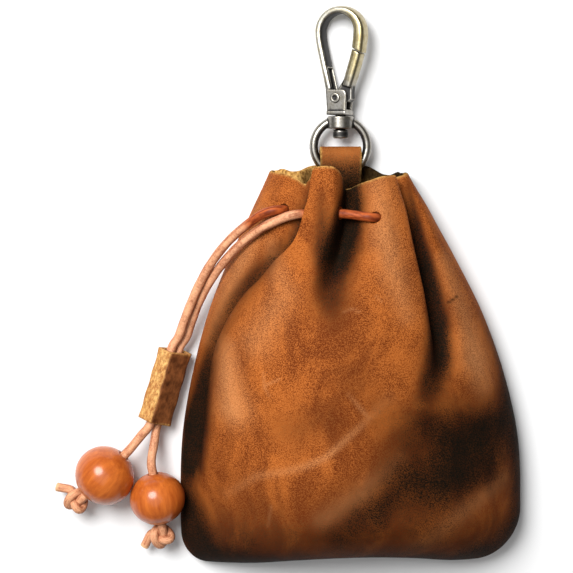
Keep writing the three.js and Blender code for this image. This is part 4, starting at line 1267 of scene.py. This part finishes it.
def leather_wall(name, plan, cutters):
    sheet, faces, raw, fold = wall(plan["face"], plan["rows"], plan["columns"], plan["facing"])
    x, y = sheet[..., 0], sheet[..., 1]
    # painted shade: the deeper a point lies in a fold, the darker it is painted
    dark = np.clip(fold / DARKEST_FOLD, 0, 1) ** FOLD_CONTRAST
    for rows in plan["burnished_and_shaded"].values():
        dark = 1 - (1 - dark) * (1 - np.clip(stroke(x, y, rows), 0, 1))
    rub = np.zeros_like(x)
    for rows in plan["rubbed_and_sheen"].values():
        rub = np.maximum(rub, stroke(x, y, rows))
    paints = {"raw": raw.ravel(), "rub": rub.ravel(), "dark": dark.ravel()}
    made = object_from(name, mesh_from(name, sheet.reshape(-1, 3), faces, paints))
    for cutter in cutters:
        subtract(made, cutter, "MANIFOLD")
    baked(made)
    made.data.shade_smooth()
    return settle(made, LEATHER_FINISH, "pouch", plan["node"])


drill_routes = (NECK_ROUTE, LEFT_ROUTE[:EXIT_POINTS], RIGHT_ROUTE[:EXIT_POINTS])
drills = [lace_along("drill", route, thickness=CORD + 2 * HOLE_PLAY) for route in drill_routes]
for name, plan in WALLS.items():
    leather_wall(name, plan, drills)
for drill in drills:
    bpy.data.objects.remove(drill)

# %% [markdown]
# ## Hanger strap
#
# A strip of the same leather is folded through the ring, and both its layers lie on the inside of the
# back. The strip is a rounded rectangle swept along a line in the plane of the fold.

# %% Strap
STRAP_WIDE = 12.4
STRAP_THICK = 1.4
STRAP_TOP_Y = 42
STRAP_FOOT_Y = 24.6
STRAP_STEP = 0.3
SWIVEL_X = -3.2
SWIVEL_Z = 5.2
STRAP_LOW = LEATHER + GAP + STRAP_THICK / 2
STRAP_HIGH = 2 * SWIVEL_Z - STRAP_LOW
STRAP_FOLD = (STRAP_HIGH - STRAP_LOW) / 2
STRAP_FOLD_Y = STRAP_TOP_Y - STRAP_THICK / 2 - STRAP_FOLD


def strap_line():
    bend = [
        (STRAP_FOLD_Y + STRAP_FOLD * math.sin(a), SWIVEL_Z - STRAP_FOLD * math.cos(a))
        for a in np.radians((0, 30, 60, 90, 120, 150, 180))
    ]
    under = [(STRAP_FOOT_Y, STRAP_LOW), (31, STRAP_LOW), (36, STRAP_LOW)]
    over = [(35, STRAP_HIGH), (32, STRAP_HIGH - 0.5), (29, 5.4), (27, 4.4)]
    end = [(STRAP_FOOT_Y, STRAP_LOW + STRAP_THICK + GAP)]
    return smooth_route([(SWIVEL_X, y, z) for y, z in under + bend + over + end], STRAP_STEP)


def hanger_strap():
    line = strap_line()
    tangent = np.gradient(line, axis=0)
    tangent /= np.linalg.norm(tangent, axis=1)[:, None]
    across = np.array((1.0, 0, 0))
    out = np.cross(tangent, across)
    loop = rounded_rectangle(STRAP_WIDE, STRAP_THICK, 0.35, per_corner=5, per_side=24)
    run = np.arange(len(line)) * STRAP_STEP
    sway = 0.12 * np.sin(run * 0.35)[:, None]
    sideways = (loop[None, :, :1] + sway[..., None]) * across
    points = line[:, None] + sideways + loop[None, :, 1:] * out[:, None]
    count = len(loop)
    cut = np.clip((np.abs(loop[:, 0]) - STRAP_WIDE / 2 + 0.5) / 0.25, 0, 1)
    raw = np.broadcast_to(0.05 + 0.95 * cut, (len(line), count)).ravel()
    # painted shade: the strap is painted darker from its fold down into the mouth, where shade falls
    dark = np.repeat(0.2 + 0.72 * fade((STRAP_TOP_Y - line[:, 1]) / 9), count)
    paints = {"raw": raw, "rub": np.full(raw.shape, 0.15), "dark": dark}
    return mesh_from("hanger_strap", points.reshape(-1, 3), tube_faces(len(line), count), paints)


strap = object_from("hanger_strap", hanger_strap())
settle(strap, LEATHER_FINISH, "pouch", "strap_loop")

# %% [markdown]
# ## Snap hook and ring
#
# The metal pieces are castings: bars, drums and blocks that run into each other with soft corners. So
# each one is put together from simple closed shapes.

# %% Simple closed shapes
def bar(stations, sides=28):
    """A bar in the hook's plane through stations of (x, y, wide, deep), with rounded-off corners."""
    stations = np.array(stations, dtype=float)
    run = np.concatenate(([0], np.cumsum(np.linalg.norm(np.diff(stations[:, :2], axis=0), axis=1))))
    line = smooth_route(np.column_stack((stations[:, :2], 0 * run)), 0.35)
    here = np.linspace(0, run[-1], len(line))
    wide, deep = (np.interp(here, run, stations[:, c]) / 2 for c in (2, 3))
    tangent = np.gradient(line, axis=0)
    tangent /= np.linalg.norm(tangent, axis=1)[:, None]
    across = np.stack((tangent[:, 1], -tangent[:, 0], 0 * here), axis=1)
    a = 2 * math.pi * (np.arange(sides) + 0.5) / sides
    c, s = (np.sign(v) * np.abs(v) ** 0.62 for v in (np.cos(a), np.sin(a)))
    points = line[:, None] + across[:, None] * (wide[:, None] * c)[..., None]
    points[..., 2] -= deep[:, None] * s
    return points.reshape(-1, 3), tube_faces(len(line), sides)


def drum(radius, low, high, corner=0.3, core=0.01):
    """A round post along Y with rounded rims, bored if core is large."""
    a = np.radians((-90, -60, -30, 0))
    foot = np.stack((radius - corner + corner * np.cos(a), low + corner + corner * np.sin(a)), axis=1)
    head = np.stack((foot[::-1, 0], low + high - foot[::-1, 1]), axis=1)
    return spun(np.vstack((foot, head, [(core, high), (core, low)])), 56)


def slab(outline, low, high):
    """A plate of an outline in the hook's plane, between two depths."""
    outline = np.array(outline, dtype=float)
    count = len(outline)
    points = np.vstack([np.column_stack((outline, np.full(count, z))) for z in (low, high)])
    return points, tube_faces(2, count)


def merged(shapes):
    points, faces, first = [], [], 0
    for shape_points, shape_faces in shapes:
        points.append(shape_points)
        faces += [tuple(i + first for i in face) for face in shape_faces]
        first += len(shape_points)
    return np.vstack(points), faces


print("bars, drums and slabs ready")

# %% [markdown]
# Soot and old polish stay in corners. The painted value hollow is how far smoothing would fill a point
# up: large in corners, below zero on edges. The inside of an eye counts as hollow too: there it is painted
# shade, for the eye's inner side lies in shade.

# %% Where soot and painted shade stay
def hollowness(mesh, rounds=30):
    count = len(mesh.vertices)
    at = np.empty(count * 3)
    mesh.vertices.foreach_get("co", at)
    at = at.reshape(-1, 3)
    ends_of = np.empty(len(mesh.edges) * 2, dtype=int)
    mesh.edges.foreach_get("vertices", ends_of)
    a, b = ends_of.reshape(-1, 2).T
    near = np.bincount(np.concatenate((a, b)), minlength=count)
    moved = at.copy()
    for _ in range(rounds):
        pairs = zip(moved[a].T, moved[b].T)
        sums = [np.bincount(a, at_b, count) + np.bincount(b, at_a, count) for at_a, at_b in pairs]
        moved = 0.5 * moved + 0.5 * np.stack(sums, axis=1) / near[:, None]
    normal = np.array([v.normal for v in mesh.vertices])
    return np.sum((moved - at) * normal, axis=1)


def facing_eye(mesh, low, high):
    """How far each point looks towards the line from low to high, in the middle of an eye."""
    low, high = np.array(low), np.array(high)
    at = np.array([v.co for v in mesh.vertices])[:, :2]
    normal = np.array([v.normal for v in mesh.vertices])
    share = np.clip((at - low) @ (high - low) / np.sum((high - low) ** 2), 0, 1)
    toward = low + share[:, None] * (high - low) - at
    toward /= np.linalg.norm(toward, axis=1)[:, None]
    return np.clip(np.sum(normal[:, :2] * toward, axis=1), 0, 1)


print("soot follows corners and eyes")

# %% [markdown]
# Casting fuses the shapes by a voxel remesh, cuts where pieces part, remeshes once more so that the cut
# edges soften, and smooths a little.

# %% Casting
VOXEL = 0.14
HOOK_EYE = ((0, 3), (0, 24))
# the eye entry is painted shade on the inside of an eye
SOOT_AND_SHADE = {"full": 0.12, "eye": 0.9, "low": 0.55, "fade": 1.5}


def fuse(made):
    whole = made.modifiers.new("fuse", "REMESH")
    whole.mode = "VOXEL"
    whole.voxel_size = VOXEL


def cast(name, shapes, cutters=(), rounds=5, eye=HOOK_EYE, soot_below=-math.inf):
    """Fuses closed shapes into one casting, less its cutters. Below soot_below it is dark all over."""
    made = object_from(name, mesh_from(name, *merged(shapes), {}))
    tools = [object_from("tool", mesh_from("tool", *cutter, {})) for cutter in cutters]
    fuse(made)
    for tool in tools:
        subtract(made, tool, "EXACT")
    fuse(made)
    smooth = made.modifiers.new("smooth", "SMOOTH")
    smooth.factor = 0.5
    smooth.iterations = rounds
    baked(made)
    for tool in tools:
        bpy.data.objects.remove(tool)
    made.data.shade_smooth()
    hollow = made.data.attributes.new("hollow", "FLOAT", "POINT")
    low = np.clip((soot_below - np.array([v.co.y for v in made.data.vertices])) / SOOT_AND_SHADE["fade"], 0, 1)
    soot_and_shade = hollowness(made.data) / SOOT_AND_SHADE["full"] + SOOT_AND_SHADE["low"] * low
    # painted shade on the inner side of the eye
    soot_and_shade += SOOT_AND_SHADE["eye"] * facing_eye(made.data, *eye)
    hollow.data.foreach_set("value", soot_and_shade.astype(np.float32))
    return made


print("castings with a grain of", VOXEL, "mm")

# %% [markdown]
# The ring is a round wire with a drum soldered into its top, in which the hook's stud turns.

# %% Swivel ring
HOOK_Y = 51.4
RING = {"radius": 8, "radial": 2.6, "deep": 3, "below": 9.4}
BARREL = {"radius": 3.95, "bore": 1.85, "top": -0.35, "bottom": -4.15}
WIRE_SIDES = 28
WIRE_STEPS = 96


def ring_wire():
    b = np.linspace(0, 2 * math.pi, WIRE_SIDES, endpoint=False)
    wire = RING["radius"] + RING["radial"] / 2 * np.cos(b)
    points, faces = spun(np.stack((wire, RING["deep"] / 2 * np.sin(b)), axis=1), WIRE_STEPS)
    return points[:, [0, 2, 1]] - (0, RING["below"], 0), faces


ring = cast(
    "ring_with_barrel",
    [ring_wire(), drum(BARREL["radius"], BARREL["bottom"], BARREL["top"], 0.35)],
    [drum(BARREL["bore"], BARREL["bottom"] - 2, BARREL["top"] + 2)],
    eye=((0, -RING["below"]), (0, -RING["below"] + 0.1)),
)
ring.data.transform(Matrix.Translation((SWIVEL_X, HOOK_Y, SWIVEL_Z)))
settle(ring, BRASS_FINISH, "pouch", "swivel_ring")

# %% [markdown]
# The hook is drawn in a plane of its own, with the swivel's axis along Y, and then turned to where it
# lies. These sizes and helpers serve its body, the gate and the rivet.

# %% Sizes of the hook
HOOK_TURN = 25
STUD = {"radius": 1.5, "head": 2.3, "head_top": -4.5, "head_bottom": -7}
PIVOT = {"x": -0.6, "y": 5, "radius": 1, "head": 1.55}
BASE_DEEP = 5.8
SLOT_HALF = 1.85
BOW = {"y": 24.5, "radius": 6.5, "leg": 2.4, "deep": 5.4, "nose": 3.7}
PARTING = {"x": 5.8, "y": 18.8, "slope": -28, "gap": 0.4}


def turned_plate(middle, slope, low, high, half_wide):
    """A thick plate square to the hook's plane, from low to high above a slanted line."""
    c, s = math.cos(math.radians(slope)), math.sin(math.radians(slope))
    corners = ((-half_wide, low), (half_wide, low), (half_wide, high), (-half_wide, high))
    return slab([(middle[0] + c * u - s * v, middle[1] + s * u + c * v) for u, v in corners], -6, 6)


def hooked(mesh):
    """Moves a piece from the hook's own plane to where the hook lies, turned on its swivel."""
    spin = Matrix.Rotation(math.radians(-HOOK_TURN), 4, "Y")
    mesh.transform(Matrix.Translation((SWIVEL_X, HOOK_Y, SWIVEL_Z)) @ spin)


def crossways(shape):
    """A post along Y, laid through the hook's depth at the pivot."""
    points, faces = shape
    return points[:, [0, 2, 1]] + (PIVOT["x"], PIVOT["y"], 0), faces


print("hook turned by", HOOK_TURN, "degrees on its swivel")

# %% [markdown]
# The hook's body is the flange and stud, two cheeks that hold the gate, and a bar that runs up, round the
# bow and down to the nose.

# %% Hook body
leg_line = ((-2.5, 6, 2.6), (-3.7, 11, BOW["leg"]), (-5.3, 17.6, BOW["leg"]))
leg = [(x, y, wide, BOW["deep"]) for x, y, wide in leg_line]
bow = []
for degrees in (190, 165, 140, 115, 90, 65, 40, 15, -8):
    a = math.radians(degrees)
    wide = BOW["leg"] + (BOW["nose"] - BOW["leg"]) * max(0, 90 - degrees) / 98
    bow.append((BOW["radius"] * math.cos(a), BOW["y"] + BOW["radius"] * math.sin(a), wide, BOW["deep"]))
nose = [(6.1, 20.6, BOW["nose"], 5.2), (5.75, 18.2, BOW["nose"], 5.0)]
corner = [(1.4 + 1.5 * math.cos(a), 6 + 1.5 * math.sin(a)) for a in np.radians((0, 15, 30, 45, 60, 75, 90))]
cheek = [(-3.2, 0.6), (2.6, 0.6), (2.9, 5), *corner, (-3.7, 7.5)]
slot = [(-2.6, 1.6), (8, 1.6), (8, 14), (-4.2, 14), (-2.75, 6)]
flange = [(-3.3, 0), (2.8, 0), (2.8, 1.15), (-3.3, 1.15)]
nose_face = (PARTING["x"], PARTING["y"])
hook = cast(
    "hook_casting",
    [
        bar(leg + bow + nose),
        slab(cheek, -BASE_DEEP / 2, BASE_DEEP / 2),
        slab(flange, -3.2, 3.2),
        drum(STUD["radius"], STUD["head_top"] - 0.5, 0.4),
        drum(STUD["head"], STUD["head_bottom"], STUD["head_top"]),
    ],
    [
        slab(slot, -SLOT_HALF, SLOT_HALF),
        turned_plate(nose_face, PARTING["slope"], -5, PARTING["gap"] / 2, 5),
        crossways(drum(PIVOT["radius"] + GAP, -6, 6)),
    ],
    soot_below=STUD["head_top"] + 1,
)
hooked(hook.data)
settle(hook, BRASS_FINISH, "hook", "hook_body")

# %% [markdown]
# The gate is a lever on a rivet between the cheeks. It meets the nose on a slanted face, which is cut on
# both with the same plate.

# %% Gate
tail = [(-1.0, 6.6), (0.3, 3.5), (3.3, 3.7), (4.1, 4.5), (4.1, 6.6), (4.4, 10.5), (1.6, 10.5)]
lever = [(2.6, 8.4, 3.2, 4.6), (3.6, 11.5, 3.4, 4.8), (5, 16, 3.4, 4.8), (6.1, 20, 3.4, 4.8)]
gate = cast(
    "gate_lever",
    [crossways(drum(1.8, -1.5, 1.5)), slab(tail, -1.5, 1.5), bar(lever)],
    [turned_plate(nose_face, PARTING["slope"], -PARTING["gap"] / 2, 5, 5), crossways(drum(1.3, -6, 6))],
    soot_below=8.8,
)
hooked(gate.data)
settle(gate, BRASS_FINISH, "gate", "gate")

# %% [markdown]
# The rivet is a pin with a low head on each cheek, dimpled by the punch that set it.

# %% Rivet
rim = BASE_DEEP / 2 + 0.1
heads = [crossways(drum(PIVOT["head"], side * rim - 0.1, side * rim + 0.4, 0.15)) for side in (1, -1)]
punched = rim + 0.45
dimples = [crossways(drum(0.7, side * punched - 0.35, side * punched + 0.35, 0.1)) for side in (1, -1)]
pin = cast("rivet", [crossways(drum(PIVOT["radius"], -rim - 0.1, rim + 0.1)), *heads], dimples, rounds=2)
hooked(pin.data)
settle(pin, BRASS_FINISH, "hook", "gate_pin")

# %% [markdown]
# ## Floor and light
#
# The photograph is lit from the upper left, low enough to throw the right side of the pouch into shade. A
# round key light gives that direction. A large soft box overhead fills the shadows, and the surround
# stays dim, so that the metal has something bright and something dark to mirror.

# %% Floor and light
FLOOR_HALF = 1.5
FLOOR_BELOW = 0.0002
SURROUND = 0.14


def floor():
    m = Material("pale_floor")
    at = m.place()
    cloud = m.noise(at, 0.02, 3) * 0.3
    m.set(Base_Color=m.blend(cloud, (0.86, 0.86, 0.86), (0.8, 0.8, 0.8)), Roughness=0.7)
    square = ((-1, -1), (1, -1), (1, 1), (-1, 1))
    corners = [(x * FLOOR_HALF, y * FLOOR_HALF, -FLOOR_BELOW) for x, y in square]
    mesh = mesh_from("floor", corners, [(0, 1, 2, 3)], {})
    mesh.materials.append(m.data)
    made = object_from("floor", mesh)


floor()
LIGHTS = {
    "key": {"from": (-0.34, 0.42, 0.84), "away": 0.8, "shape": "DISK", "size": 0.45, "energy": 9},
    "soft_box": {"from": (-0.15, 0.1, 1), "away": 1.2, "shape": "SQUARE", "size": 1.2, "energy": 4.5},
}
for name, light in LIGHTS.items():
    light_data = bpy.data.lights.new(name, "AREA")
    light_data.shape = light["shape"]
    light_data.size = light["size"]
    light_data.energy = light["energy"]
    lamp = bpy.data.objects.new(name, light_data)
    toward = Vector(light["from"]).normalized()
    lamp.location = LOOK_AT + toward * light["away"]
    lamp.rotation_euler = toward.to_track_quat("Z", "Y").to_euler()
    scene.collection.objects.link(lamp)
    print(name, light["energy"], "W from", [round(c, 2) for c in toward])
world = bpy.data.worlds.new("surround")
world.use_nodes = True
world.node_tree.nodes["Background"].inputs["Color"].default_value = (1, 1, 1, 1)
world.node_tree.nodes["Background"].inputs["Strength"].default_value = SURROUND
scene.world = world
scene.view_settings.view_transform = "Standard"
